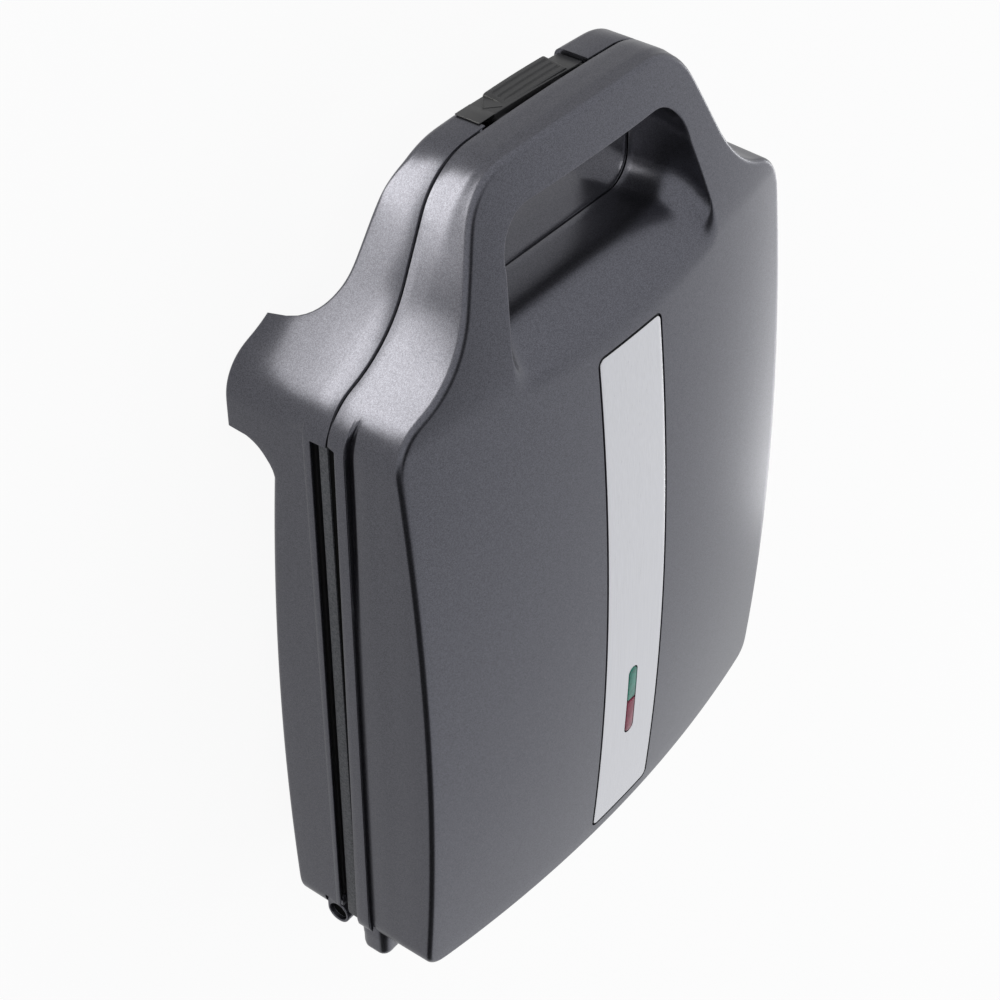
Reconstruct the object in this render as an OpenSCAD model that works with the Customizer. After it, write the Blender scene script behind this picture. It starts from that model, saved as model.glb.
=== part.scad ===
// Four-slice sandwich toaster: two clamshell halves that share a carrying handle,
// hinged at the rear, with a sliding latch in the handle. It is drawn in its use
// pose: feet on z = 0, lid up, handle towards -Y, hinge towards +Y.

/* [Body] */
// Width of the housing at the parting line
body_w = 250; // [220:1:300]
// Length from the front of the handle to the rear wall
body_l = 355; // [330:1:430]
// Distance from the front of the handle to the shoulders
handle_l = 74.6; // [68:0.1:90]
// Width of the handle at its front corners
handle_w = 127; // [115:1:150]
// Width of the neck where the handle meets the shoulders
neck_w = 180.4; // [165:1:200]
// How far the neck lies in front of the shoulders
neck_l = 11.8; // [8:0.1:16]
// Forward bow of the handle front and rear wall
front_bow = 1.5; // [0.5:0.1:4]
// Height of the parting plane above the table
seam_h = 51; // [46:0.5:60]
// Height of the lid's crown above the parting plane
lid_rise = 53.8; // [46:0.1:64]
// Depth of the base's belly below the parting plane
base_drop = 38.5; // [34:0.1:42]
// Wall thickness of both housings
wall = 2.4; // [2:0.1:3.2]
// Rounding of the long outer edges
edge_r = 2.8; // [2:0.1:5]
// Crown radius of the lid across its width
lid_crown_r = 700; // [500:10:1500]
// Crown radius of both faces along their length
long_crown_r = 1300; // [900:10:2500]
// Extra fall of the lid face towards the handle front
handle_fall = 0.15; // [0.05:0.01:0.25]

/* [Handle opening] */
// Width of the grip opening at the parting plane
grip_w = 112; // [96:1:118]
// Length of the grip opening at the parting plane
grip_l = 45; // [36:1:52]
// Depth of the bar in front of the grip opening
bar_l = 20; // [16:0.5:26]
// Sideways flare of the opening at the face
grip_flare = 9; // [4:0.5:11]
// Length of the ramp behind the opening
ramp_l = 15; // [8:0.5:20]

/* [Front legs and feet] */
// Depth of the front legs behind their outer face
leg_t = 14; // [10:0.5:20]
// Distance from the shoulder to the rear of a leg
leg_l = 26.5; // [20:0.5:36]
// Blend radius between leg and belly
leg_blend = 17; // [10:0.5:22]
// How far the rubber pads stand below the legs
pad_proud = 1.2; // [0.8:0.1:2]
// Radius of a rear foot
rear_foot_r = 12; // [9:0.5:16]

/* [Hinge] */
// Distance of the hinge axis below the parting plane
hinge_drop = 11.5; // [10.5:0.1:13]
// Distance of the hinge axis in front of the rear wall
hinge_inset = 3; // [2:0.1:4]
// Outer radius of the hinge knuckles
knuckle_r = 5.8; // [5:0.1:6.2]
// Radius of the hinge pins
pin_r = 2.5; // [2:0.1:3]
// Radial running clearance of the hinge pins
pin_clear = 0.06; // [0.02:0.01:0.1]
// Width of a lid lug between its two knuckles
lug_w = 13; // [10:0.5:16]

/* [Cooking plates] */
// Width of the cooking plates
plate_w = 216; // [190:1:222]
// Length of the cooking plates
plate_l = 240; // [210:1:244]
// Thickness of the cast plate walls
plate_t = 2.6; // [2:0.1:3.5]
// Depth of the sandwich pockets
pocket_d = 12; // [8:0.5:14]
// Width of the ridges between the pockets
ridge_w = 7; // [5:0.5:10]
// Radius of the tubular heating elements
element_r = 3.2; // [2.5:0.1:4]

/* [Trim strip and lights] */
// Width of the steel trim strip
strip_w = 40; // [30:1:50]
// Length of the steel trim strip
strip_l = 254; // [200:1:262]
// Thickness of the steel trim strip
strip_t = 0.8; // [0.6:0.1:1.2]
// Visible black edge round the trim strip
strip_gap = 0.8; // [0.4:0.1:1.5]
// Length of the window for the two lights
window_l = 40; // [30:1:50]
// Width of the window for the two lights
window_w = 6.6; // [5:0.1:9]

/* [Latch] */
// Width of the notch that the latch slides in
latch_notch_w = 62; // [50:1:70]
// Travel of the latch
latch_travel = 7; // [5:0.5:7.5]
// Width of the raised finger pad
latch_pad_w = 37; // [28:1:42]

/* [Hidden] */

standoff_l = 10;                                   // rear stand-offs of the lid
latch_proud = 1.6;                                 // finger pad in front of the handle
overall_l = body_l + standoff_l + latch_proud;
front_y = latch_proud - overall_l / 2;
rear_y = front_y + body_l;
shoulder_y = front_y + handle_l;
neck_y = shoulder_y - neck_l;
corner_r = 30;
neck_r = 50;
shoulder_r = 20;
rear_r = 9;
half_w = body_w / 2;

seam_gap = 0.5;                                    // half of the parting line
rim_drop = 8;                                      // rim of the base beside the plates
strip_drop = 5;                                    // lower edge of the lid's plate frame
band_out = 1.2;                                    // rim band that stands out along the lid's sides
band_h = 8.5;
step_y = shoulder_y + 9;                           // where the handle's parting line meets the side slot
crown_y = front_y + 256;                           // highest station of both faces
mate_z = seam_h - 6.5;                             // plane where the two cooking plates meet
mate_gap = 0.15;
plate_y = rear_y - 17 - plate_l / 2;
hinge_y = rear_y - hinge_inset;
hinge_z = seam_h - hinge_drop;
fit = 0.3;                                         // assembly clearance between fixed pieces
touch = 0.02;                                      // gap between faces that bear on each other

// Outline tools

function unit(v) = v / norm(v);
function arc_corner(a, b, c, r, n) =
    let (u = unit(a - b), w = unit(c - b), half = acos(u * w) / 2,
         centre = b + unit(u + w) * r / sin(half),
         start = b + u * r / tan(half), stop = b + w * r / tan(half),
         a0 = atan2(start.y - centre.y, start.x - centre.x),
         a1 = atan2(stop.y - centre.y, stop.x - centre.x),
         turn = a1 - a0 > 180 ? a1 - a0 - 360 : a1 - a0 < -180 ? a1 - a0 + 360 : a1 - a0)
    [for (i = [0:n]) centre + r * [cos(a0 + turn * i / n), sin(a0 + turn * i / n)]];
function mirrored(pts) = [for (i = [len(pts) - 2:-1:1]) [-pts[i].x, pts[i].y]];
function bow_y(x, y, s) = y + s * front_bow * pow(x / (handle_w / 2), 2);
function lerp(a, b, t) = a + (b - a) * t;

front_corner = [handle_w / 2, bow_y(handle_w / 2, front_y, 1)];
neck_corner = [neck_w / 2, neck_y];
shoulder_corner = [half_w, shoulder_y];
rear_corner = [half_w, rear_y - front_bow];
front_mid = [0, front_y];
rear_mid = [0, rear_y];

// Right half of the plan outline, from the front centre round to the rear centre
half_plan = concat(
    [for (x = [0, 14, 28]) [x, bow_y(x, front_y, 1)]],
    arc_corner([28, bow_y(28, front_y, 1)], front_corner, neck_corner, corner_r, 7),
    arc_corner(front_corner, neck_corner, shoulder_corner, neck_r, 7),
    arc_corner(neck_corner, shoulder_corner, rear_corner, shoulder_r, 6),
    [for (i = [1:5]) [half_w, lerp(shoulder_y + 14, rear_y - 14, i / 6)]],
    arc_corner(shoulder_corner, rear_corner, rear_mid, rear_r, 5),
    [for (t = [0.32, 0.55, 0.78]) lerp(rear_corner, rear_mid, t) + [0, front_bow * (t * (1 - t))]],
    [rear_mid]
);
plan = concat(half_plan, mirrored(half_plan));

// The outline moved inwards by d, or by a value for each point
function inset_at(pts, i, d) =
    let (n = len(pts), p = pts[i], a = pts[(i + n - 1) % n], b = pts[(i + 1) % n],
         u = unit(p - a), w = unit(b - p), m = unit(u + w), s = max(0.5, m * u))
    p + d / s * [-m.y, m.x];
function inset(pts, d) = [for (i = [0:len(pts) - 1]) inset_at(pts, i, d)];
function inset_by(pts, ds) = [for (i = [0:len(pts) - 1]) inset_at(pts, i, ds[i])];

// Height of the lid's face, and depth of the base's belly, from the parting plane
function fall(y) = let (s = max(0, shoulder_y + 6 - y)) handle_fall * s * s / (s + 10);
function long_crown(y) = pow(y - crown_y, 2) / (2 * long_crown_r);
function lid_face(p) = lid_rise - long_crown(p.y) - fall(p.y) - p.x * p.x / (2 * lid_crown_r);
belly_crown_r = 3000;
function belly(p) = base_drop - long_crown(p.y) * 0.92 - p.x * p.x / (2 * belly_crown_r);

// A closed skin: rings of points from the parting plane up the wall, round the
// edge and in over the crowned face. Each ring has one point for each outline point.
function ramp_in(y) = let (t = min(1, max(0, (y - step_y + 14) / 14))) t * t * (3 - 2 * t);
function level(pts, z) = [for (p = pts) [p.x, p.y, z]];
function on_face(pts, face, drop) = [for (p = pts) [p.x, p.y, (face == 0 ? lid_face(p) : belly(p)) - drop]];
function shrunk(pts, s, c) = [for (p = pts) c + (p - c) * s];
function band(d) = [for (p = plan) -d * ramp_in(p.y)];
function edge_rings(d, r, face, drop, n) =
    [for (i = [0:n]) let (a = 90 * i / n)
        on_face(inset(plan, d + r * (1 - cos(a))), face, drop + r * (1 - sin(a)))];
function cap_rings(d, r, face, drop, scales) =
    let (top = inset(plan, d + r)) [for (s = scales) on_face(shrunk(top, s, [0, 0]), face, drop)];

module skin(rings, centre) {
    n = len(rings[0]);
    m = len(rings);
    points = concat([for (ring = rings) each ring], [centre]);
    sides = [for (k = [0:m - 2], i = [0:n - 1]) let (j = (i + 1) % n)
        each [[k * n + i, (k + 1) * n + i, (k + 1) * n + j], [k * n + i, (k + 1) * n + j, k * n + j]]];
    cap = [for (i = [0:n - 1]) [(m - 1) * n + i, m * n, (m - 1) * n + (i + 1) % n]];
    polyhedron(points, concat([[for (i = [0:n - 1]) i]], sides, cap), convexity = 8);
}

module lid_solid() {
    rings = concat(
        [level(inset_by(plan, band(band_out)), seam_gap)],
        [level(inset_by(plan, band(band_out)), band_h)],
        [level(inset_by(plan, band(-0.2)), band_h + 3)],
        edge_rings(0.8, edge_r, 0, 0, 4),
        cap_rings(0.8, edge_r, 0, 0, [0.84, 0.62, 0.34]));
    translate([0, 0, seam_h]) skin(rings, [0, 0, lid_face([0, 0])]);
}

module lid_cavity() {
    rings = concat(
        [level(inset(plan, wall), -1)],
        edge_rings(wall + 0.4, edge_r - 1, 0, wall, 1),
        cap_rings(wall + 0.4, edge_r - 1, 0, wall, [0.7, 0.35]));
    translate([0, 0, seam_h]) skin(rings, [0, 0, lid_face([0, 0]) - wall]);
}

module base_solid() {
    rings = concat(
        [level(plan, seam_gap)],
        edge_rings(0, edge_r, 1, 0, 3),
        cap_rings(0, edge_r, 1, 0, [0.6]));
    translate([0, 0, seam_h]) mirror([0, 0, 1]) skin(rings, [0, 0, belly([0, 0])]);
}

module base_cavity() {
    rings = concat(
        [level(inset(plan, wall), -1)],
        edge_rings(wall + 0.4, edge_r - 1, 1, wall, 1),
        cap_rings(wall + 0.4, edge_r - 1, 1, wall, [0.5]));
    translate([0, 0, seam_h]) mirror([0, 0, 1]) skin(rings, [0, 0, belly([0, 0]) - wall]);
}

// Grip opening: rounded rectangles at rising levels, joined into one flared funnel
grip_front = front_y + bar_l;
grip_back = front_y + bar_l + grip_l;
module grip_corner(x, y, z, r, grow) {
    for (s = [-1, 1]) translate([s * (x - r), y, z]) cylinder(r = r + grow, h = 0.01, $fn = 24);
}
module grip_level(level, grow) {
    // level: height, sideways growth, growth to the front and to the back, front and back corner radius
    grip_corner(grip_w / 2 + level[1] * 0.25, grip_front - level[2] + level[4], level[0], level[4], grow);
    grip_corner(grip_w / 2 + level[1], grip_back + level[3] - level[5], level[0], level[5], grow);
}
module grip_funnel(top, grow) {
    levels = [
        [-2, 0, 0, 0, 14, 12],
        [top * 0.42, grip_flare * 0.35, 0.3, 0.8, 16, 12],
        [top * 0.62, grip_flare * 0.62, 0.6, ramp_l * 0.22, 19, 12],
        [top, grip_flare, 1, ramp_l, 20, 10],
        [top + 8, grip_flare + 2, 1.5, ramp_l + 7, 20, 10]
    ];
    for (i = [0:len(levels) - 2]) hull() {
        grip_level(levels[i], grow);
        grip_level(levels[i + 1], grow);
    }
}

// Base housing

rear_foot_x = half_w - 30;
rear_foot_y = rear_y - 26;
screw_r = 1.6;
boss_r = 4.2;
base_screw_spots = [for (x = [-1, 1], y = [shoulder_y + 58, rear_y - 42]) [x * (half_w - 9.5), y]];
bezel_z = seam_h - rim_drop - 5;                    // underside of the base's plate frame
gland_x = -46;
gland_r = 4.6;
gland_z = max(seam_h - 25, seam_h - belly([gland_x, rear_y]) + 9.6);
bracket_in = half_w - 38;                           // inner end of a hinge bracket
bracket_out = half_w - 1.2;                         // outer end, flush with the side
bracket_front = hinge_y - knuckle_r - 6;
bracket_h = 12;

leg_tip = neck_w / 2 + 9;                           // inner end of a leg's sole
leg_back = shoulder_y + leg_l;
leg_top = seam_h - 18;
leg_set_in = 0.06;                                  // outer face of a leg behind the side wall
tip_z = seam_h - belly([leg_tip, neck_y]) + 0.4;    // where the blends run into the belly
back_z = seam_h - belly([half_w, leg_back + leg_blend]) + 0.4;
tip_blend = tip_z - pad_proud - 2;
module leg_side_profile() {
    // side view of a leg: flat sole, rear face, concave blend up to the belly
    difference() {
        translate([shoulder_y - 40, pad_proud])
            square([leg_back + leg_blend - shoulder_y + 40, leg_top - pad_proud]);
        translate([leg_back + leg_blend, back_z - leg_blend]) circle(r = leg_blend, $fn = 48);
        translate([leg_back, -1]) square([leg_blend + 1, back_z - leg_blend + 1]);
    }
}
module leg_front_profile() {
    // front view of a leg: sole, and the wide blend that runs into the neck
    difference() {
        translate([leg_tip - tip_blend, pad_proud])
            square([half_w - leg_tip + tip_blend + 1, leg_top - pad_proud]);
        translate([leg_tip - tip_blend, tip_z - tip_blend]) circle(r = tip_blend, $fn = 64);
        translate([leg_tip - 2 * tip_blend, -1]) square([2 * tip_blend, tip_z - tip_blend + 1]);
    }
}
module leg() {
    intersection() {
        linear_extrude(seam_h) difference() {
            polygon(inset(plan, leg_set_in));
            polygon(inset(plan, leg_t));
        }
        rotate([90, 0, 90]) linear_extrude(half_w + 1) leg_side_profile();
        translate([0, step_y + leg_l + 40]) rotate([90, 0, 0]) linear_extrude(140) leg_front_profile();
    }
}
module rear_post() {
    translate([rear_foot_x, rear_foot_y, pad_proud])
        cylinder(r1 = rear_foot_r - 1, r2 = rear_foot_r + 1,
            h = seam_h - belly([rear_foot_x, rear_foot_y]) + 1.8 - pad_proud, $fn = 40);
}
notch_right = -latch_notch_w / 2 + 2.75;
notch_left = notch_right + latch_notch_w;
latch_bed = 6.4;                                    // depth of the notch behind the handle front
latch_bed_h = 24;
module latch_bed_block() {
    intersection() {
        translate([notch_right - 4, front_y, seam_h - latch_bed_h])
            cube([latch_notch_w + 8, latch_bed + wall, latch_bed_h - seam_gap]);
        base_solid();
    }
}
module base_shell() {
    color("#4c4d52") difference() {
        union() {
            difference() {
                base_solid();
                base_cavity();
            }
            intersection() {
                base_solid();
                translate([0, 0, seam_h]) mirror([0, 0, 1]) grip_funnel(belly([0, grip_back]), wall);
            }
            for (s = [0, 1]) mirror([s, 0, 0]) {
                leg();
                rear_post();
            }
            latch_bed_block();
            for (p = base_screw_spots) translate([p.x, p.y, seam_h - belly(p) + 1])
                cylinder(r = boss_r, h = bezel_z - touch - seam_h + belly(p) - 1, $fn = 12);
        }
        translate([0, 0, seam_h]) mirror([0, 0, 1]) grip_funnel(belly([0, grip_back]), 0);
        // parting plane, and the lower rim beside and behind the plates
        translate([-half_w - 5, front_y - 5, seam_h - seam_gap]) cube([body_w + 10, body_l + 10, 10]);
        translate([-half_w - 5, step_y, seam_h - rim_drop]) cube([body_w + 10, body_l, 20]);
        // notch and bed of the latch
        translate([notch_right, front_y - 5, 0]) cube([latch_notch_w, 5 + latch_bed, seam_h]);
        // pockets for the hinge brackets
        for (s = [0, 1]) mirror([s, 0, 0])
            translate([bracket_in - fit, bracket_front - fit, seam_h - rim_drop - bracket_h])
                cube([60, 40, bracket_h + 10]);
        translate([gland_x, rear_y + 5, gland_z]) rotate([90, 0, 0])
            cylinder(r = gland_r + fit, h = 20, $fn = 32);
        for (p = base_screw_spots) translate([p.x, p.y, 0]) {
            cylinder(r = screw_r + 0.1, h = seam_h, $fn = 12);
            cylinder(r = 3.4, h = seam_h - belly(p) + 5, $fn = 16);
        }
    }
}

// Plate frames: the black frame of the base and the speckled frame of the lid

plate_corner_r = 14;
module plate_outline(grow) {
    for (x = [-1, 1], y = [-1, 1])
        translate([x * (plate_w / 2 - plate_corner_r), plate_y + y * (plate_l / 2 - plate_corner_r)])
            circle(r = plate_corner_r + grow, $fn = 48);
    square_at([0, plate_y], [plate_w - 2 * plate_corner_r, plate_l + 2 * grow]);
    square_at([0, plate_y], [plate_w + 2 * grow, plate_l - 2 * plate_corner_r]);
}
module square_at(c, size) {
    translate([c.x - size.x / 2, c.y - size.y / 2]) square(size);
}
frame_front = step_y + 0.6;
frame_back = hinge_y - knuckle_r - 6.8;
module frame_outline(d, back) {
    intersection() {
        polygon(inset(plan, d));
        translate([-half_w, frame_front]) square([body_w, back - frame_front]);
    }
}
module base_bezel() {
    color("#1c1c1e") translate([0, 0, bezel_z]) difference() {
        linear_extrude(4.6) difference() {
            frame_outline(wall + fit, frame_back);
            plate_outline(-3.4);
        }
        translate([0, 0, mate_z - mate_gap - plate_t - touch - bezel_z]) linear_extrude(3) plate_outline(fit);
        for (p = base_screw_spots) translate([p.x, p.y, -1]) cylinder(r = screw_r + 0.05, h = 4.8, $fn = 24);
    }
}
module lid_bezel() {
    color("#77797d") difference() {
        translate([0, 0, seam_h - strip_drop]) linear_extrude(strip_drop + seam_gap - touch) difference() {
            frame_outline(0.7, rear_y - 1.2);
            plate_outline(-3.4);
        }
        translate([0, 0, mate_z]) linear_extrude(mate_gap + plate_t + touch) plate_outline(fit);
        for (p = lid_screw_spots) translate([p.x, p.y, seam_h - 8]) {
            cylinder(r = screw_r + 0.05, h = 12, $fn = 24);
            cylinder(r = 3.2, h = 5.2, $fn = 24);
        }
    }
}

// Cooking plates: a flange with eight triangular pockets, sealed by raised ridges

cell = [(plate_w - 2 * 5) / 2, (plate_l - 2 * 5) / 2];
function pocket_triangle(ix, iy, half) =
    let (x0 = ix * cell.x / 2, y0 = iy * cell.y / 2,
         hx = cell.x / 2 - ridge_w / 2, hy = cell.y / 2 - ridge_w / 2,
         d = ridge_w / 2, c = ix * iy)
    half == 0
        ? [[x0 - hx, y0 - c * hy + c * 1.9 * d], [x0 - hx, y0 + c * hy], [x0 + hx - 1.9 * d, y0 + c * hy]]
        : [[x0 + hx, y0 + c * hy - c * 1.9 * d], [x0 + hx, y0 - c * hy], [x0 - hx + 1.9 * d, y0 - c * hy]];
function centroid(t) = (t[0] + t[1] + t[2]) / 3;
module pocket_form(t, top, depth, grow) {
    c = centroid(t);
    hull() for (p = t) {
        v = c - p;
        translate(concat(p + unit(v) * 8, top)) cylinder(r = 4.5 + grow, h = 0.01, $fn = 16);
        translate(concat(p + unit(v) * 19, top - depth)) cylinder(r = 4 + grow, h = 0.01, $fn = 16);
    }
}
module grill_plate() {
    // top of the flange at z = 0, pockets downwards
    difference() {
        union() {
            translate([0, 0, -plate_t]) linear_extrude(plate_t) plate_outline(0);
            translate([0, plate_y, 0]) for (ix = [-1, 1], iy = [-1, 1], h = [0, 1])
                pocket_form(pocket_triangle(ix, iy, h), -0.2, pocket_d + plate_t - 0.2, plate_t * 0.8);
        }
        translate([0, plate_y, 0]) for (ix = [-1, 1], iy = [-1, 1], h = [0, 1])
            pocket_form(pocket_triangle(ix, iy, h), 0.1, pocket_d + 0.1, 0);
        for (p = plate_screw_spots) translate([p.x, p.y, -plate_t - 1])
            cylinder(r = 1.9, h = plate_t + 2, $fn = 16);
    }
}
plate_screw_spots = [for (x = [-1, 1], y = [-1, 1])
    [x * (plate_w / 2 - 2.9), plate_y + y * (plate_l / 2 - 40)]];
module lower_grill_plate() {
    color("#26262a") translate([0, 0, mate_z - mate_gap]) grill_plate();
}
module upper_grill_plate() {
    color("#26262a") translate([0, 0, mate_z + mate_gap]) mirror([0, 0, 1]) grill_plate();
}

// Heating elements: a tube bent into two loops under the pocket floors

module element_bend(r, a) {
    rotate_extrude(angle = a, $fn = 48) translate([r, 0]) circle(r = element_r, $fn = 24);
}
module heating_loop() {
    run = plate_l - 90;
    span = 26;
    for (x = [-1.5, -0.5, 0.5, 1.5]) translate([x * 2 * span, plate_y - run / 2, 0]) rotate([-90, 0, 0])
        cylinder(r = element_r, h = run, $fn = 24);
    for (x = [-1, 1]) translate([x * 2 * span, plate_y + run / 2, 0]) element_bend(span, 180);
    translate([0, plate_y - run / 2, 0]) rotate([0, 0, 180]) element_bend(span, 180);
    for (x = [-3, 3]) translate([x * span, plate_y - run / 2 - 14, 0]) rotate([-90, 0, 0])
        cylinder(r = 1.6, h = 14, $fn = 16);
}
floor_d = pocket_d + plate_t + mate_gap;
module lower_heating_element() {
    color("#8f8b84") translate([0, 0, mate_z - floor_d - element_r - touch]) heating_loop();
}
module upper_heating_element() {
    color("#8f8b84") translate([0, 0, mate_z + floor_d + element_r + touch]) heating_loop();
}
reflector_t = 1;
module reflector() {
    // shallow tray behind the element, with turned-up long sides
    w = plate_w - 36;
    l = plate_l - 72;
    translate([-w / 2, plate_y - l / 2, 0]) difference() {
        cube([w, l, 7]);
        translate([reflector_t, -1, reflector_t]) cube([w - 2 * reflector_t, l + 2, 7]);
    }
}
module lower_reflector() {
    color("#b9bcc0") translate([0, 0, mate_z - floor_d - 2 * element_r - 2 * touch - reflector_t])
        reflector();
}
module upper_reflector() {
    color("#b9bcc0") translate([0, 0, mate_z + floor_d + 2 * element_r + 2 * touch + reflector_t])
        mirror([0, 0, 1]) reflector();
}

// Electrical pieces inside the base

tray_top = mate_z - floor_d - 2 * element_r - touch;
module thermostat() {
    // capsule on the reflector, its sensing cap in the valley between the pockets
    color("#d8d2c4") translate([0, plate_y, tray_top]) {
        cylinder(r = 7, h = 4, $fn = 32);
        cylinder(r = 8.6, h = 1, $fn = 32);
        translate([0, 0, 4]) cylinder(r = 4, h = mate_z - mate_gap - plate_t - tray_top - 4.4, $fn = 32);
    }
}
module thermal_fuse() {
    color("#c9c4b8") translate([0, plate_y + 34, tray_top + 3]) rotate([90, 0, 0]) {
        cylinder(r = 3, h = 12, $fn = 24);
        translate([0, 0, -8]) cylinder(r = 0.7, h = 28, $fn = 16);
    }
}
block_y = rear_y - 28;
block_z = seam_h - belly([gland_x - 11, block_y + 11]) + wall + 0.7;
module terminal_block() {
    color("#e6e2d8") translate([gland_x - 11, block_y, block_z]) difference() {
        cube([24, 11, 9]);
        for (i = [0:2]) translate([4 + i * 8, -1, 4.5]) rotate([-90, 0, 0])
            cylinder(r = 1.5, h = 13, $fn = 20);
    }
}
module cord_gland() {
    // flanged bush in the rear wall, with the hole that a power cord would pass
    wall_y = rear_y - 0.35 * front_bow;
    color("#1b1b1c") translate([gland_x, wall_y, gland_z]) rotate([90, 0, 0]) difference() {
        union() {
            translate([0, 0, -6]) cylinder(r = gland_r, h = 14, $fn = 40);
            translate([0, 0, -6]) cylinder(r = gland_r + 2.4, h = 5.6, $fn = 40);
            translate([0, 0, wall + 0.3]) cylinder(r = gland_r + 1.2, h = 3, $fn = 40);
        }
        translate([0, 0, -7]) cylinder(r = 3.3, h = 20, $fn = 40);
    }
}
module foot_pad(r, h) {
    cylinder(r1 = r - 0.4, r2 = r, h = h, $fn = 32);
}
module front_foot_pads() {
    color("#202022") for (s = [0, 1]) mirror([s, 0, 0]) translate([half_w - 9.5, shoulder_y + 13, 0])
        foot_pad(4.6, pad_proud - touch);
}
module rear_foot_pads() {
    color("#202022") for (s = [0, 1]) mirror([s, 0, 0]) translate([rear_foot_x, rear_foot_y, 0])
        foot_pad(rear_foot_r - 3, pad_proud - touch);
}
module pan_screw(l) {
    // head at z = 0 upwards, shank downwards
    cylinder(r = 3, h = 1.8, $fn = 24);
    translate([0, 0, -l]) cylinder(r = screw_r, h = l, $fn = 24);
}
module base_screws() {
    color("#9a9ca0") for (p = base_screw_spots)
        translate([p.x, p.y, seam_h - belly(p) + 5 - touch]) mirror([0, 0, 1]) pan_screw(belly(p) - 14.5);
}
module lower_plate_screws() {
    color("#9a9ca0") for (p = plate_screw_spots) translate([p.x, p.y, mate_z - mate_gap - 1.9])
        cylinder(r = 1.8, h = 1.7, $fn = 24);
}
module upper_plate_screws() {
    color("#9a9ca0") for (p = plate_screw_spots) translate([p.x, p.y, mate_z + mate_gap + 0.2])
        cylinder(r = 1.8, h = 1.7, $fn = 24);
}

// Hinge: each bracket has two knuckles, the lid's lug turns between them on a pin

lug_x = (bracket_in + bracket_out) / 2 - lug_w / 2 - 0.4;
module knuckle(x, w, r) {
    translate([x, hinge_y, hinge_z]) rotate([0, 90, 0]) cylinder(r = r, h = w, $fn = 48);
}
module hinge_bracket() {
    difference() {
        union() {
            knuckle(bracket_in, lug_x - 0.4 - bracket_in, knuckle_r);
            knuckle(lug_x + lug_w + 0.4, bracket_out - lug_x - lug_w - 0.4, knuckle_r);
            translate([bracket_in, bracket_front, seam_h - rim_drop - bracket_h + fit])
                cube([bracket_out - bracket_in, 5.4, bracket_h - fit]);
            for (x = [[bracket_in, lug_x - 0.4], [lug_x + lug_w + 0.4, bracket_out]])
                translate([x[0], bracket_front + 4, hinge_z - knuckle_r])
                    cube([x[1] - x[0], hinge_y - bracket_front - 4, knuckle_r + 1]);
        }
        knuckle(bracket_in - 1, bracket_out - bracket_in + 2, pin_r + pin_clear / 2);
    }
}
module hinge_bracket_left() {
    color("#4c4d52") mirror([1, 0, 0]) hinge_bracket();
}
module hinge_bracket_right() {
    color("#4c4d52") hinge_bracket();
}
module hinge_pin() {
    knuckle(bracket_in + 1.5, bracket_out - bracket_in - 4, pin_r);
}
module hinge_pin_left() {
    color("#b8babd") mirror([1, 0, 0]) hinge_pin();
}
module hinge_pin_right() {
    color("#b8babd") hinge_pin();
}
module lid_hinge_lug() {
    difference() {
        union() {
            knuckle(lug_x, lug_w, knuckle_r - 0.3);
            translate([lug_x, hinge_y - knuckle_r + 0.5, hinge_z])
                cube([lug_w, 6, hinge_drop - strip_drop - touch]);
        }
        knuckle(lug_x - 1, lug_w + 2, pin_r + pin_clear);
    }
}
module lid_hinge_lug_left() {
    color("#4c4d52") mirror([1, 0, 0]) lid_hinge_lug();
}
module lid_hinge_lug_right() {
    color("#4c4d52") lid_hinge_lug();
}

// Lid housing

grip_top = lid_face([grip_w / 2, grip_back + ramp_l]);
lid_screw_spots = [for (x = [-1, 1], y = [0, 1]) [x * (half_w - 9), lerp(step_y + 16, rear_y - 22, y)]];
strip_y = rear_y - 9 - strip_l / 2;
window_y = strip_y + strip_l / 2 - 66;
strip_r = 2.6;
function strip_plan(grow) =
    let (w = strip_w / 2 + grow, l = strip_l / 2 + grow, r = strip_r + grow,
         side = [for (i = [1:14]) [w, strip_y - l + r + (2 * l - 2 * r) * i / 15]])
    let (half = concat(
        [[0, strip_y - l], [w / 2, strip_y - l]],
        arc_corner([0, strip_y - l], [w, strip_y - l], [w, strip_y], r, 3), side,
        arc_corner([w, strip_y], [w, strip_y + l], [0, strip_y + l], r, 3),
        [[w / 2, strip_y + l], [0, strip_y + l]]))
    concat(half, mirrored(half));
// A thin sheet that follows the crowned face, between two depths below it
module crowned_sheet(grow, top, bottom) {
    pts = strip_plan(grow);
    n = len(pts);
    m = n / 2;
    up = [for (p = pts) [p.x, p.y, seam_h + lid_face(p) - top]];
    down = [for (p = pts) [p.x, p.y, seam_h + lid_face(p) - bottom]];
    // points i and n - i lie opposite each other across the sheet
    top_faces = [for (i = [0:m - 1]) let (a = i, b = i + 1, c = (n - i - 1) % n, d = (n - i) % n)
        each (i == 0 ? [[a, c, b]] : i == m - 1 ? [[a, d, b]] : [[a, d, c], [a, c, b]])];
    polyhedron(concat(up, down), concat(
        top_faces,
        [for (f = top_faces) [f[0] + n, f[2] + n, f[1] + n]],
        [for (i = [0:n - 1]) let (j = (i + 1) % n) each [[i, j, n + j], [i, n + j, n + i]]]), convexity = 4);
}
module window_hole(grow) {
    translate([0, window_y, seam_h]) linear_extrude(lid_rise + 10) {
        square([window_w + 2 * grow, window_l - window_w], center = true);
        for (s = [-1, 1]) translate([0, s * (window_l - window_w) / 2])
            circle(r = window_w / 2 + grow, $fn = 32);
    }
}
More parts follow.
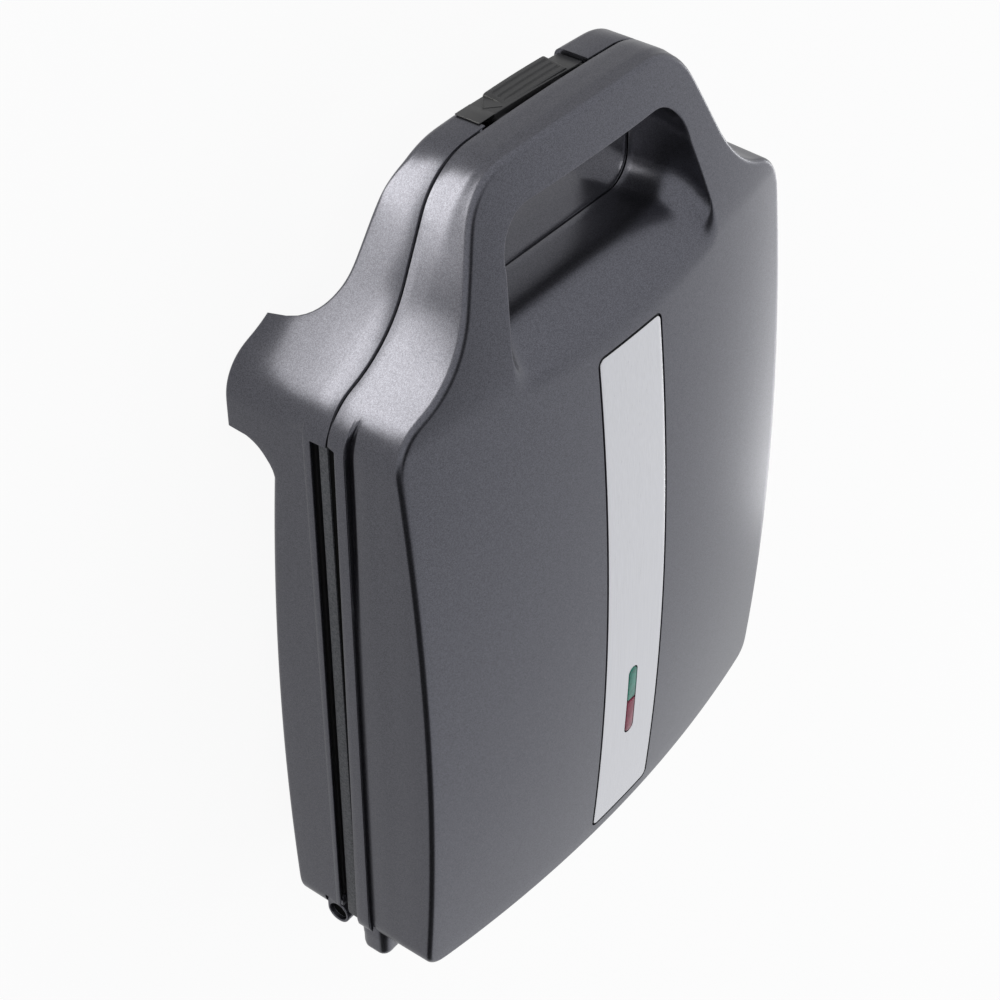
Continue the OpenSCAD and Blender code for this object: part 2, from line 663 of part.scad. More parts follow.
module stand_off() {
    // rounded foot at a rear corner, on which the closed toaster stands upright
    hull() for (x = [half_w - 13, half_w - 6], z = [5.5, 8.5])
        translate([x, rear_y - 5, seam_h + z]) rotate([-90, 0, 0]) {
            cylinder(r = 4.6, h = standoff_l, $fn = 20);
            cylinder(r = 4, h = standoff_l + 3.4, $fn = 20);
            cylinder(r = 2, h = standoff_l + 5, $fn = 20);
        }
}
module lid_shell() {
    color("#4c4d52") difference() {
        union() {
            difference() {
                lid_solid();
                lid_cavity();
            }
            intersection() {
                lid_solid();
                translate([0, 0, seam_h]) grip_funnel(grip_top, wall);
            }
            crowned_sheet(strip_gap + 2, wall - 0.6, wall + 1);
            for (s = [0, 1]) mirror([s, 0, 0]) stand_off();
            for (p = lid_screw_spots) translate([p.x, p.y, seam_h + seam_gap])
                cylinder(r = boss_r, h = lid_face(p) - 3, $fn = 12);
        }
        translate([0, 0, seam_h]) grip_funnel(grip_top, 0);
        translate([-half_w - 5, front_y - 5, seam_h - 10]) cube([body_w + 10, overall_l + 10, 10 + seam_gap]);
        crowned_sheet(strip_gap, -2, strip_t + 0.8);
        window_hole(0.6);
        for (p = lid_screw_spots) translate([p.x, p.y, seam_h]) cylinder(r = screw_r + 0.1, h = 14, $fn = 12);
    }
}
module trim_plate() {
    color("#c9cacc") difference() {
        crowned_sheet(0, 0, strip_t);
        window_hole(0);
    }
}
module trim_pad() {
    color("#101011") difference() {
        crowned_sheet(strip_gap - 0.1, strip_t + touch, strip_t + 0.7);
        window_hole(0);
    }
}
function face_tilt(y) = -atan((y - crown_y) / long_crown_r);
lens_l = window_l / 2 - 0.4;
module lens(side) {
    y = window_y + side * (window_l / 4 + 0.1);
    translate([0, y, seam_h + lid_face([0, y])]) rotate([face_tilt(y), 0, 0])
        translate([0, 0, -4]) linear_extrude(4.1) {
        translate([0, side * (lens_l / 2 - window_w / 2)]) circle(r = window_w / 2 - 0.1, $fn = 32);
        translate([0, -side * window_w / 4]) square([window_w - 0.2, lens_l - window_w / 2], center = true);
    }
}
module ready_lens() {
    color("#5fa08c") lens(-1);
}
module power_lens() {
    color("#a5697a") lens(1);
}
holder_h = 14;
holder_z = seam_h + lid_face([9, window_y + 26]) - wall - 1.2 - holder_h;
module lamp_holder() {
    // bracket under the window that carries the two neon lamps
    color("#e8e4da") translate([-9, window_y - 26, holder_z]) difference() {
        cube([18, 52, holder_h]);
        translate([2, 2, 2]) cube([14, 48, holder_h]);
        for (y = [16, 36]) translate([9, y, -1]) cylinder(r = 1.2, h = 4, $fn = 20);
    }
}
module lamp(side) {
    translate([0, window_y + side * 10, holder_z + 2 + touch]) {
        cylinder(r = 2.8, h = 6, $fn = 28);
        translate([0, 0, 6]) sphere(r = 2.8, $fn = 28);
    }
}
module ready_lamp() {
    color("#d7e6df") lamp(-1);
}
module power_lamp() {
    color("#e6d7d2") lamp(1);
}
module lid_screws() {
    color("#9a9ca0") for (p = lid_screw_spots) translate([p.x, p.y, seam_h - 2.8 - touch])
        mirror([0, 0, 1]) pan_screw(14);
}

// Latch: a slider in the base's handle whose two hooks hold the lid's catch

latch_front = front_y;
latch_h = 13.6;                                     // height of the slide below the parting plane
hook_x = [-14, 19];
hook_y = latch_front + 3.4;
catch_z = 3.6;
module latch_slider() {
    color("#3a3a3c") {
        // sloping slide plate, with a tongue that rides over the housing
        translate([0, 0, seam_h - latch_h]) linear_extrude(latch_h - 0.6) polygon([
            [notch_left + 1, latch_front - 0.6], [notch_left + 1, latch_front + 0.35],
            [notch_left - latch_travel - 0.8, latch_front + 0.35],
            [notch_left - latch_travel - 0.8, latch_front + 3.2],
            [notch_right + 0.5, latch_front + 3.2], [notch_right + 0.5, latch_front + 1.6]]);
        // finger pad: a wedge that rises towards the underside, with three grooves
        difference() {
            translate([-latch_pad_w / 2, latch_front, seam_h]) rotate([90, 0, 90]) linear_extrude(latch_pad_w)
                polygon([[1.8, -latch_h], [0.8 - latch_proud, -latch_h], [-latch_proud, 0.8 - latch_h],
                    [0.4, -1.4], [1.8, -1.4]]);
            for (z = [-11, -8.2, -5.4])
                translate([-latch_pad_w / 2 + 2, latch_front + 0.3 + (z + 1.4) * 0.175, seam_h + z])
                rotate([0, 90, 0]) cylinder(r = 0.7, h = latch_pad_w - 4, $fn = 20);
        }
        for (x = hook_x) {
            translate([x, latch_front + 2.8, seam_h - 9]) cube([6, 2.7, 9.2]);
            translate([x, hook_y, seam_h - 1]) cube([6, 2.1, catch_z + 7.4]);
            translate([x - 6, hook_y, seam_h + catch_z + 3.4]) cube([7, 2.1, 3]);
        }
    }
}
module latch_catch() {
    color("#3a3a3c") {
        translate([hook_x[0] - 8, latch_front + latch_bed, seam_h + catch_z])
            cube([hook_x[1] - hook_x[0] + 16, 2, 7]);
        for (x = hook_x) translate([x - 6.4, latch_front + wall + 0.5, seam_h + catch_z]) cube([5.6, 5, 2.6]);
    }
}

base_shell();
base_bezel();
lower_grill_plate();
lower_heating_element();
lower_reflector();
thermostat();
thermal_fuse();
terminal_block();
cord_gland();
hinge_bracket_left();
hinge_bracket_right();
hinge_pin_left();
hinge_pin_right();
front_foot_pads();
rear_foot_pads();
base_screws();
lower_plate_screws();
lid_shell();
lid_bezel();
upper_grill_plate();
upper_heating_element();
upper_reflector();
lid_hinge_lug_left();
lid_hinge_lug_right();
trim_plate();
trim_pad();
ready_lens();
power_lens();
lamp_holder();
ready_lamp();
power_lamp();
latch_catch();
lid_screws();
upper_plate_screws();
latch_slider();
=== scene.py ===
import math

import bmesh
import bpy
import numpy as np
from mathutils import Matrix, Vector


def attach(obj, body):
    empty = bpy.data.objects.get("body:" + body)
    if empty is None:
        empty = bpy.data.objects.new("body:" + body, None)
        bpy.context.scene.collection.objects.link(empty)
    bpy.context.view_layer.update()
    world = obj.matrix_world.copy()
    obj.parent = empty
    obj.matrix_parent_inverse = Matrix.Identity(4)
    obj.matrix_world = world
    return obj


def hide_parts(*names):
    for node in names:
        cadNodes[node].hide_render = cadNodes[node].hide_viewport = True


# Four-slice sandwich toaster, closed and lying on its feet. The handle points to -Y,
# the hinge to +Y, and the table is z = 0. Sizes in the dictionaries are in millimetres.
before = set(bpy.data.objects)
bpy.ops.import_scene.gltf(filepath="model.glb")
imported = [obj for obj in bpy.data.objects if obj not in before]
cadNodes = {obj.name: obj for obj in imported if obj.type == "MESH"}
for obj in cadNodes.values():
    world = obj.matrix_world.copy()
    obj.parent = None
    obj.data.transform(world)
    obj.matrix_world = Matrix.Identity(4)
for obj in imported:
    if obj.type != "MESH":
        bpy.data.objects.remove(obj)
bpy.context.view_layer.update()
mm = 0.001
print("frame loaded with", len(cadNodes), "nodes")


# camera at the photograph's angle
cameraSetup = {
    "location": (0.55613, -0.56283, 0.45495),
    "right": (-0.608, -0.0046, 0.7939),
    "back": (0.6103, -0.6423, 0.4637),
    "lens": 76.8,
}


def addCamera():
    camera = bpy.data.objects.new("camera", bpy.data.cameras.new("camera"))
    bpy.context.scene.collection.objects.link(camera)
    camera.data.lens = cameraSetup["lens"]
    camera.data.sensor_width = 36.0
    camera.data.clip_start = 0.01
    back = Vector(cameraSetup["back"]).normalized()
    up = back.cross(Vector(cameraSetup["right"])).normalized()
    right = up.cross(back)
    turn = Matrix((right, up, back)).transposed().to_4x4()
    camera.matrix_world = Matrix.Translation(cameraSetup["location"]) @ turn
    bpy.context.scene.camera = camera


addCamera()
bpy.context.scene.view_settings.view_transform = "Standard"


# ---- materials ----

def newGroup(name, inputs, outputs):
    group = bpy.data.node_groups.new(name, "ShaderNodeTree")
    for label, kind, value in inputs:
        socket = group.interface.new_socket(label, in_out="INPUT", socket_type=kind)
        socket.default_value = value
    for label, kind in outputs:
        group.interface.new_socket(label, in_out="OUTPUT", socket_type=kind)
    return group


def addNode(tree, kind, place=(0, 0), **settings):
    node = tree.nodes.new(kind)
    node.location = place
    for key, value in settings.items():
        setattr(node, key, value)
    return node


def paintGrain():
    # metal flakes in a satin paint: small cells, each a little lighter or darker, and a soft orange peel
    group = newGroup("paintGrain", [("Color", "NodeSocketColor", (0.1, 0.1, 0.1, 1)),
                                    ("Flake Scale", "NodeSocketFloat", 2600.0),
                                    ("Flake Contrast", "NodeSocketFloat", 0.3),
                                    ("Roughness", "NodeSocketFloat", 0.4)],
                     [("Color", "NodeSocketColor"), ("Roughness", "NodeSocketFloat"), ("Normal", "NodeSocketVector")])
    ins = addNode(group, "NodeGroupInput", (-900, 0))
    outs = addNode(group, "NodeGroupOutput", (700, 0))
    place = addNode(group, "ShaderNodeTexCoord", (-900, -300))
    cells = addNode(group, "ShaderNodeTexVoronoi", (-600, -200), feature="F1")
    fine = addNode(group, "ShaderNodeTexNoise", (-600, -500))
    fine.inputs["Scale"].default_value = 1500.0
    fine.inputs["Detail"].default_value = 2.0
    peel = addNode(group, "ShaderNodeTexNoise", (-600, -800))
    peel.inputs["Scale"].default_value = 160.0
    peel.inputs["Detail"].default_value = 1.0
    value = addNode(group, "ShaderNodeSeparateColor", (-400, -200))
    spread = addNode(group, "ShaderNodeMapRange", (-200, -200))
    low = addNode(group, "ShaderNodeMath", (-400, 100), operation="SUBTRACT")
    low.inputs[0].default_value = 1.0
    high = addNode(group, "ShaderNodeMath", (-400, -50), operation="ADD")
    high.inputs[0].default_value = 1.0
    tint = addNode(group, "ShaderNodeMix", (100, 100), data_type="RGBA", blend_type="MULTIPLY")
    tint.inputs["Factor"].default_value = 1.0
    grey = addNode(group, "ShaderNodeCombineColor", (-50, -200))
    rough = addNode(group, "ShaderNodeMath", (200, -200), operation="MULTIPLY_ADD")
    rough.inputs[1].default_value = 0.08
    flakeBump = addNode(group, "ShaderNodeBump", (100, -500))
    flakeBump.inputs["Strength"].default_value = 0.12
    flakeBump.inputs["Distance"].default_value = 0.00006
    peelBump = addNode(group, "ShaderNodeBump", (350, -500))
    peelBump.inputs["Strength"].default_value = 0.10
    peelBump.inputs["Distance"].default_value = 0.0002
    link = group.links.new
    for texture in (cells, fine, peel):
        link(place.outputs["Object"], texture.inputs["Vector"])
    link(ins.outputs["Flake Scale"], cells.inputs["Scale"])
    link(cells.outputs["Color"], value.inputs["Color"])
    link(value.outputs["Red"], spread.inputs["Value"])
    link(ins.outputs["Flake Contrast"], low.inputs[1])
    link(ins.outputs["Flake Contrast"], high.inputs[1])
    link(low.outputs[0], spread.inputs["To Min"])
    link(high.outputs[0], spread.inputs["To Max"])
    for channel in ("Red", "Green", "Blue"):
        link(spread.outputs["Result"], grey.inputs[channel])
    link(ins.outputs["Color"], tint.inputs["A"])
    link(grey.outputs["Color"], tint.inputs["B"])
    link(tint.outputs["Result"], outs.inputs["Color"])
    link(fine.outputs["Fac"], rough.inputs[0])
    link(ins.outputs["Roughness"], rough.inputs[2])
    link(rough.outputs[0], outs.inputs["Roughness"])
    link(fine.outputs["Fac"], flakeBump.inputs["Height"])
    link(peel.outputs["Fac"], peelBump.inputs["Height"])
    link(flakeBump.outputs["Normal"], peelBump.inputs["Normal"])
    link(peelBump.outputs["Normal"], outs.inputs["Normal"])
    return group


def mouldGrain():
    # spark-eroded mould texture of the plain plastics, rubber and ceramics
    group = newGroup("mouldGrain", [("Color", "NodeSocketColor", (0.05, 0.05, 0.05, 1)),
                                    ("Grain Scale", "NodeSocketFloat", 900.0),
                                    ("Grain Depth", "NodeSocketFloat", 0.3),
                                    ("Mottle", "NodeSocketFloat", 0.2),
                                    ("Roughness", "NodeSocketFloat", 0.5)],
                     [("Color", "NodeSocketColor"), ("Roughness", "NodeSocketFloat"), ("Normal", "NodeSocketVector")])
    ins = addNode(group, "NodeGroupInput", (-900, 0))
    outs = addNode(group, "NodeGroupOutput", (600, 0))
    place = addNode(group, "ShaderNodeTexCoord", (-900, -300))
    grain = addNode(group, "ShaderNodeTexNoise", (-600, -200))
    grain.inputs["Detail"].default_value = 3.0
    cloud = addNode(group, "ShaderNodeTexNoise", (-600, -500))
    cloud.inputs["Scale"].default_value = 45.0
    cloud.inputs["Detail"].default_value = 4.0
    mottle = addNode(group, "ShaderNodeMapRange", (-350, 0))
    less = addNode(group, "ShaderNodeMath", (-600, 150), operation="SUBTRACT")
    less.inputs[0].default_value = 1.0
    more = addNode(group, "ShaderNodeMath", (-600, 0), operation="ADD")
    more.inputs[0].default_value = 1.0
    mottle.inputs["From Min"].default_value = 0.3
    mottle.inputs["From Max"].default_value = 0.7
    grey = addNode(group, "ShaderNodeCombineColor", (-150, 0))
    tint = addNode(group, "ShaderNodeMix", (100, 100), data_type="RGBA", blend_type="MULTIPLY")
    tint.inputs["Factor"].default_value = 1.0
    rough = addNode(group, "ShaderNodeMath", (100, -200), operation="MULTIPLY_ADD")
    rough.inputs[1].default_value = 0.1
    bump = addNode(group, "ShaderNodeBump", (100, -450))
    bump.inputs["Distance"].default_value = 0.00012
    link = group.links.new
    link(place.outputs["Object"], grain.inputs["Vector"])
    link(place.outputs["Object"], cloud.inputs["Vector"])
    link(ins.outputs["Grain Scale"], grain.inputs["Scale"])
    link(ins.outputs["Mottle"], less.inputs[1])
    link(ins.outputs["Mottle"], more.inputs[1])
    link(less.outputs[0], mottle.inputs["To Min"])
    link(more.outputs[0], mottle.inputs["To Max"])
    link(grain.outputs["Fac"], mottle.inputs["Value"])
    for channel in ("Red", "Green", "Blue"):
        link(mottle.outputs["Result"], grey.inputs[channel])
    link(ins.outputs["Color"], tint.inputs["A"])
    link(grey.outputs["Color"], tint.inputs["B"])
    link(tint.outputs["Result"], outs.inputs["Color"])
    link(cloud.outputs["Fac"], rough.inputs[0])
    link(ins.outputs["Roughness"], rough.inputs[2])
    link(rough.outputs[0], outs.inputs["Roughness"])
    link(ins.outputs["Grain Depth"], bump.inputs["Strength"])
    link(grain.outputs["Fac"], bump.inputs["Height"])
    link(bump.outputs["Normal"], outs.inputs["Normal"])
    return group


def brushGrain():
    # fine scratches along one axis, as belt-brushed or drawn metal has
    group = newGroup("brushGrain", [("Color", "NodeSocketColor", (0.6, 0.6, 0.6, 1)),
                                    ("Stretch", "NodeSocketVector", (3000.0, 40.0, 3000.0)),
                                    ("Contrast", "NodeSocketFloat", 0.06),
                                    ("Roughness", "NodeSocketFloat", 0.3)],
                     [("Color", "NodeSocketColor"), ("Roughness", "NodeSocketFloat"), ("Normal", "NodeSocketVector")])
    ins = addNode(group, "NodeGroupInput", (-900, 0))
    outs = addNode(group, "NodeGroupOutput", (600, 0))
    place = addNode(group, "ShaderNodeTexCoord", (-900, -300))
    scale = addNode(group, "ShaderNodeVectorMath", (-700, -300), operation="MULTIPLY")
    lines = addNode(group, "ShaderNodeTexNoise", (-500, -300))
    lines.inputs["Scale"].default_value = 1.0
    lines.inputs["Detail"].default_value = 4.0
    less = addNode(group, "ShaderNodeMath", (-500, 150), operation="SUBTRACT")
    less.inputs[0].default_value = 1.0
    more = addNode(group, "ShaderNodeMath", (-500, 0), operation="ADD")
    more.inputs[0].default_value = 1.0
    spread = addNode(group, "ShaderNodeMapRange", (-250, 0))
    spread.inputs["From Min"].default_value = 0.3
    spread.inputs["From Max"].default_value = 0.7
    grey = addNode(group, "ShaderNodeCombineColor", (-50, 0))
    tint = addNode(group, "ShaderNodeMix", (150, 100), data_type="RGBA", blend_type="MULTIPLY")
    tint.inputs["Factor"].default_value = 1.0
    rough = addNode(group, "ShaderNodeMath", (150, -200), operation="MULTIPLY_ADD")
    rough.inputs[1].default_value = 0.12
    bump = addNode(group, "ShaderNodeBump", (150, -450))
    bump.inputs["Strength"].default_value = 0.12
    bump.inputs["Distance"].default_value = 0.00004
    link = group.links.new
    link(place.outputs["Object"], scale.inputs[0])
    link(ins.outputs["Stretch"], scale.inputs[1])
    link(scale.outputs["Vector"], lines.inputs["Vector"])
    link(ins.outputs["Contrast"], less.inputs[1])
    link(ins.outputs["Contrast"], more.inputs[1])
    link(less.outputs[0], spread.inputs["To Min"])
    link(more.outputs[0], spread.inputs["To Max"])
    link(lines.outputs["Fac"], spread.inputs["Value"])
    for channel in ("Red", "Green", "Blue"):
        link(spread.outputs["Result"], grey.inputs[channel])
    link(ins.outputs["Color"], tint.inputs["A"])
    link(grey.outputs["Color"], tint.inputs["B"])
    link(tint.outputs["Result"], outs.inputs["Color"])
    link(lines.outputs["Fac"], rough.inputs[0])
    link(ins.outputs["Roughness"], rough.inputs[2])
    link(rough.outputs[0], outs.inputs["Roughness"])
    link(lines.outputs["Fac"], bump.inputs["Height"])
    link(bump.outputs["Normal"], outs.inputs["Normal"])
    return group


grains = {"paint": paintGrain(), "mould": mouldGrain(), "brush": brushGrain()}

# each finish: the grain it uses, that grain's values, and the constant values of its surface
finishes = {
    "housing": ("paint", {"Color": (0.108, 0.1085, 0.125), "Flake Scale": 3600, "Flake Contrast": 0.26, "Roughness": 0.26},
                {"Metallic": 0.92}),
    "plateFrame": ("mould", {"Color": (0.085, 0.088, 0.096), "Grain Scale": 1300, "Grain Depth": 0.7, "Mottle": 0.45,
                             "Roughness": 0.45}, {"Metallic": 0.5}),
    "blackPlastic": ("mould", {"Color": (0.012, 0.012, 0.013), "Grain Scale": 1100, "Grain Depth": 0.25, "Mottle": 0.15,
                               "Roughness": 0.5}, {}),
    # near-black and almost unreflective: painted shade, used for slots and hollows that stand in shadow
    "paintedShade": ("mould", {"Color": (0.004, 0.004, 0.004), "Grain Scale": 1100, "Grain Depth": 0.2, "Mottle": 0.2,
                           "Roughness": 0.8}, {"Specular IOR Level": 0.05}),
    "latchPlastic": ("mould", {"Color": (0.022, 0.022, 0.023), "Grain Scale": 1500, "Grain Depth": 0.2, "Mottle": 0.1,
                               "Roughness": 0.34}, {}),
    "whitePlastic": ("mould", {"Color": (0.72, 0.70, 0.64), "Grain Scale": 700, "Grain Depth": 0.15, "Mottle": 0.04,
                               "Roughness": 0.42}, {}),
    "ceramic": ("mould", {"Color": (0.62, 0.57, 0.47), "Grain Scale": 500, "Grain Depth": 0.4, "Mottle": 0.08,
                          "Roughness": 0.6}, {}),
    "rubber": ("mould", {"Color": (0.018, 0.018, 0.019), "Grain Scale": 600, "Grain Depth": 0.5, "Mottle": 0.2,
                         "Roughness": 0.75}, {}),
    "nonStick": ("mould", {"Color": (0.022, 0.022, 0.024), "Grain Scale": 1800, "Grain Depth": 0.35, "Mottle": 0.5,
                           "Roughness": 0.33}, {}),
    "brushedStrip": ("brush", {"Color": (0.60, 0.60, 0.62), "Stretch": (2600, 22, 2600), "Contrast": 0.05,
                               "Roughness": 0.24}, {"Metallic": 1.0}),
    "steel": ("brush", {"Color": (0.42, 0.42, 0.43), "Stretch": (900, 900, 120), "Contrast": 0.12, "Roughness": 0.28},
              {"Metallic": 1.0}),
    "elementSheath": ("brush", {"Color": (0.30, 0.27, 0.24), "Stretch": (900, 60, 900), "Contrast": 0.3,
                                "Roughness": 0.42}, {"Metallic": 0.9}),
    "reflector": ("brush", {"Color": (0.62, 0.62, 0.63), "Stretch": (1200, 60, 1200), "Contrast": 0.1,
                            "Roughness": 0.22}, {"Metallic": 1.0}),
    "greenLens": ("mould", {"Color": (0.020, 0.225, 0.160), "Grain Scale": 350, "Grain Depth": 0.05, "Mottle": 0.3,
                            "Roughness": 0.25}, {"Specular IOR Level": 0.3}),
    "redLens": ("mould", {"Color": (0.27, 0.050, 0.085), "Grain Scale": 350, "Grain Depth": 0.05, "Mottle": 0.3,
                          "Roughness": 0.25}, {"Specular IOR Level": 0.3}),
    "lampGlass": ("mould", {"Color": (0.85, 0.88, 0.86), "Grain Scale": 200, "Grain Depth": 0.03, "Mottle": 0.03,
                            "Roughness": 0.06}, {"Transmission Weight": 0.8, "IOR": 1.45}),
}


def makeMaterial(name):
    grain, values, surface = finishes[name]
    material = bpy.data.materials.new(name)
    material.use_nodes = True
    tree = material.node_tree
    shader = tree.nodes["Principled BSDF"]
    node = addNode(tree, "ShaderNodeGroup", (-300, 200), node_tree=grains[grain])
    for label, value in values.items():
        wanted = tuple(value) + (1.0,) if label == "Color" else value
        node.inputs[label].default_value = wanted
    for label, target in (("Color", "Base Color"), ("Roughness", "Roughness"), ("Normal", "Normal")):
        tree.links.new(node.outputs[label], shader.inputs[target])
    for label, value in surface.items():
        shader.inputs[label].default_value = value
    return material


materials = {name: makeMaterial(name) for name in finishes}
print("materials made:", len(materials))


def coat(piece, name):
    piece.data.materials.clear()
    piece.data.materials.append(materials[name])


def clearSelection():
    for other in list(bpy.context.selected_objects):
        other.select_set(False)


def pick(piece):
    clearSelection()
    piece.select_set(True)
    bpy.context.view_layer.objects.active = piece


# ---- plan outline of both housings ----

bodyPlan = {
    "frontY": -181.7, "rearY": 173.3, "shoulderY": -107.1, "neckY": -118.9,
    "halfWidth": 125.0, "neckHalf": 90.2, "handleHalf": 63.5, "frontBow": 1.5,
    "corners": (30.0, 50.0, 20.0, 9.0), "soften": 2.2,
    "seamZ": 51.0, "stepY": -98.1, "crownY": 74.3,
    "gripX": 0.0, "gripY": -139.2, "wall": 2.4,
}


def unit(v):
    return v / np.linalg.norm(v)


def cornerArc(a, b, c, radius, count):
    a, b, c = (np.array(p, float) for p in (a, b, c))
    u, w = unit(a - b), unit(c - b)
    half = math.acos(float(u @ w)) / 2
    centre = b + unit(u + w) * radius / math.sin(half)
    start, stop = b + u * radius / math.tan(half), b + w * radius / math.tan(half)
    a0 = math.atan2(*(start - centre)[::-1])
    turn = math.atan2(*(stop - centre)[::-1]) - a0
    turn = (turn + math.pi) % (2 * math.pi) - math.pi
    return [centre + radius * np.array((math.cos(a0 + turn * t), math.sin(a0 + turn * t)))
            for t in np.linspace(0, 1, count)]


def gripLevel(height, face):
    # outline of the grip opening at a height above the parting plane: flares towards the face
    g = gripShape
    top, flare, ramp = (g[face + end] for end in ("Top", "Flare", "Ramp"))
    levels = np.array([[-2, 0, 0, 0, 14, 12],
                       [0.42 * top, 0.35 * flare, 0.3, 0.05 * ramp, 16, 12],
                       [0.62 * top, 0.62 * flare, 0.6, 0.22 * ramp, 19, 12],
                       [top, flare, 1, ramp, 20, 10],
                       [top + 8, flare + 2, 1.5, ramp * 1.47, 20, 10]])
    side, front, back, frontR, backR = (easedCurve(levels[:, 0], levels[:, k], height) for k in range(1, 6))
    points = []
    halfFront, halfBack = g["half"] + 0.25 * side, g["half"] + side
    for cx, cy, r, a0 in ((halfBack - backR, g["back"] + back - backR, backR, 0),
                          (-halfBack + backR, g["back"] + back - backR, backR, 90),
                          (-halfFront + frontR, g["front"] - front + frontR, frontR, 180),
                          (halfFront - frontR, g["front"] - front + frontR, frontR, 270)):
        for a in np.radians(np.linspace(a0, a0 + 90, 25)):
            points.append((cx + r * math.cos(a), cy + r * math.sin(a)))
    return np.array(points)


def easedCurve(xs, ys, x):
    # smooth curve through rising points that doesn't overshoot
    x = float(np.clip(x, xs[0], xs[-1]))
    h, d = np.diff(xs), np.diff(ys) / np.diff(xs)
    m = np.zeros(len(xs))
    m[0], m[-1] = d[0], d[-1]
    for k in range(1, len(xs) - 1):
        m[k] = 0 if d[k - 1] * d[k] <= 0 else 2 * d[k - 1] * d[k] / (d[k - 1] + d[k])
    k = min(len(h) - 1, max(0, int(np.searchsorted(xs, x)) - 1))
    t = (x - xs[k]) / h[k]
    return ((2 * t**3 - 3 * t**2 + 1) * ys[k] + (t**3 - 2 * t**2 + t) * h[k] * m[k]
            + (3 * t**2 - 2 * t**3) * ys[k + 1] + (t**3 - t**2) * h[k] * m[k + 1])


gripShape = {
    "half": 56.0, "front": -161.7, "back": -116.7,
    "lidTop": 39.6, "lidFlare": 9.0, "lidRamp": 15.0, "baseTop": 25.6, "baseFlare": 2.4, "baseRamp": 1.2,
    "edgeRound": 1.3, "rampRound": {"lid": 8.0, "base": 1.6},
}


def planCurve():
    # dense right half of the outline, mirrored, then softened a little along its length
    p = bodyPlan
    r = p["corners"]
    frontCorner = (p["handleHalf"], p["frontY"] + p["frontBow"])
    neckCorner, shoulderCorner = (p["neckHalf"], p["neckY"]), (p["halfWidth"], p["shoulderY"])
    rearCorner, rearMid = (p["halfWidth"], p["rearY"] - p["frontBow"]), (0, p["rearY"])
    bow = lambda x: p["frontY"] + p["frontBow"] * (x / p["handleHalf"])**2
    half = [np.array((x, bow(x))) for x in np.linspace(0, 28, 30)]
    half += cornerArc((28, bow(28)), frontCorner, neckCorner, r[0], 60)
    half += cornerArc(frontCorner, neckCorner, shoulderCorner, r[1], 60)
    half += cornerArc(neckCorner, shoulderCorner, rearCorner, r[2], 60)
    half += cornerArc(shoulderCorner, rearCorner, rearMid, r[3], 40)
    corner = np.array(rearCorner)
    half += [corner + (np.array(rearMid) - corner) * t + (0, p["frontBow"] * t * (1 - t)) for t in np.linspace(0.15, 1, 60)]
    half = np.array(half)
    loop = np.vstack([half, (half * (-1, 1))[-2:0:-1]])
    step = np.linalg.norm(np.diff(np.vstack([loop, loop[:1]]), axis=0), axis=1)
    along = np.concatenate([[0], np.cumsum(step)])
    count = 4800
    s = np.arange(count) * along[-1] / count
    closed = np.vstack([loop, loop[:1]])
    even = np.column_stack([np.interp(s, along, closed[:, k]) for k in (0, 1)])
    sigma = p["soften"] * count / along[-1]
    reach = int(4 * sigma)
    weights = np.exp(-0.5 * (np.arange(-reach, reach + 1) / sigma)**2)
    weights /= weights.sum()
    soft = np.zeros_like(even)
    for k, w in zip(range(-reach, reach + 1), weights):
        soft += w * np.roll(even, -k, axis=0)
    return soft, along[-1] / count


def spokes(extraY):
    # points on the outline, closer together where it or the grip opening turns, with their outward normals
    curve, step = planCurve()
    ahead, behind = np.roll(curve, -1, axis=0), np.roll(curve, 1, axis=0)
    tangent = ahead - behind
    tangent /= np.linalg.norm(tangent, axis=1)[:, None]
    normal = np.column_stack([tangent[:, 1], -tangent[:, 0]])
    bend = np.linalg.norm(np.roll(tangent, -8, axis=0) - np.roll(tangent, 8, axis=0), axis=1) / (16 * step)
    density = np.minimum(1 / 0.95, 1 / 4.6 + 16 * bend)
    ring = gripLevel(20, "lid")
    centre = np.array((bodyPlan["gripX"], bodyPlan["gripY"]))
    reach = radiusAt(ring, np.arctan2(*(curve - centre).T[::-1]))
    mates = centre + unitRows(curve - centre) * reach[:, None]
    mateStep = np.linalg.norm(np.roll(mates, -1, axis=0) - mates, axis=1)
    mateTurn = np.roll(mates, -6, axis=0) - 2 * mates + np.roll(mates, 6, axis=0)
    mateBend = np.linalg.norm(mateTurn, axis=1) / np.maximum(36 * mateStep**2, 1e-6)
    density = np.maximum(density, mateStep / step * np.minimum(1 / 1.0, 1 / 5.0 + 8 * np.minimum(mateBend, 0.2)))
    total = np.concatenate([[0], np.cumsum(density * step)])
    half = len(curve) // 2
    wanted = int(round(total[half]))
    s = np.interp(np.linspace(0, total[half], wanted + 1), total[:half + 1], np.arange(half + 1))
    right = [np.interp(s, np.arange(half + 1), curve[:half + 1, k]) for k in (0, 1)]
    sideStart = int(np.argmax(curve[:half, 0]))
    extra = [np.interp(y, curve[:half, 1], np.arange(half)) for y in extraY]
    s = np.array(sorted(list(s) + extra))
    keep = [0]
    for k in range(1, len(s)):
        if s[k] - s[keep[-1]] > 0.25:
            keep.append(k)
    s = s[keep]
    pick2 = lambda data: np.column_stack([np.interp(s, np.arange(half + 1), data[:half + 1, k]) for k in (0, 1)])
    points, normals = pick2(curve), unitRows(pick2(normal))
    points[0, 0] = points[-1, 0] = 0
    normals[0], normals[-1] = (0, -1), (0, 1)
    mirror = np.array((-1, 1))
    return np.vstack([points, (points * mirror)[-2:0:-1]]), np.vstack([normals, (normals * mirror)[-2:0:-1]])


def unitRows(v):
    return v / np.linalg.norm(v, axis=1)[:, None]


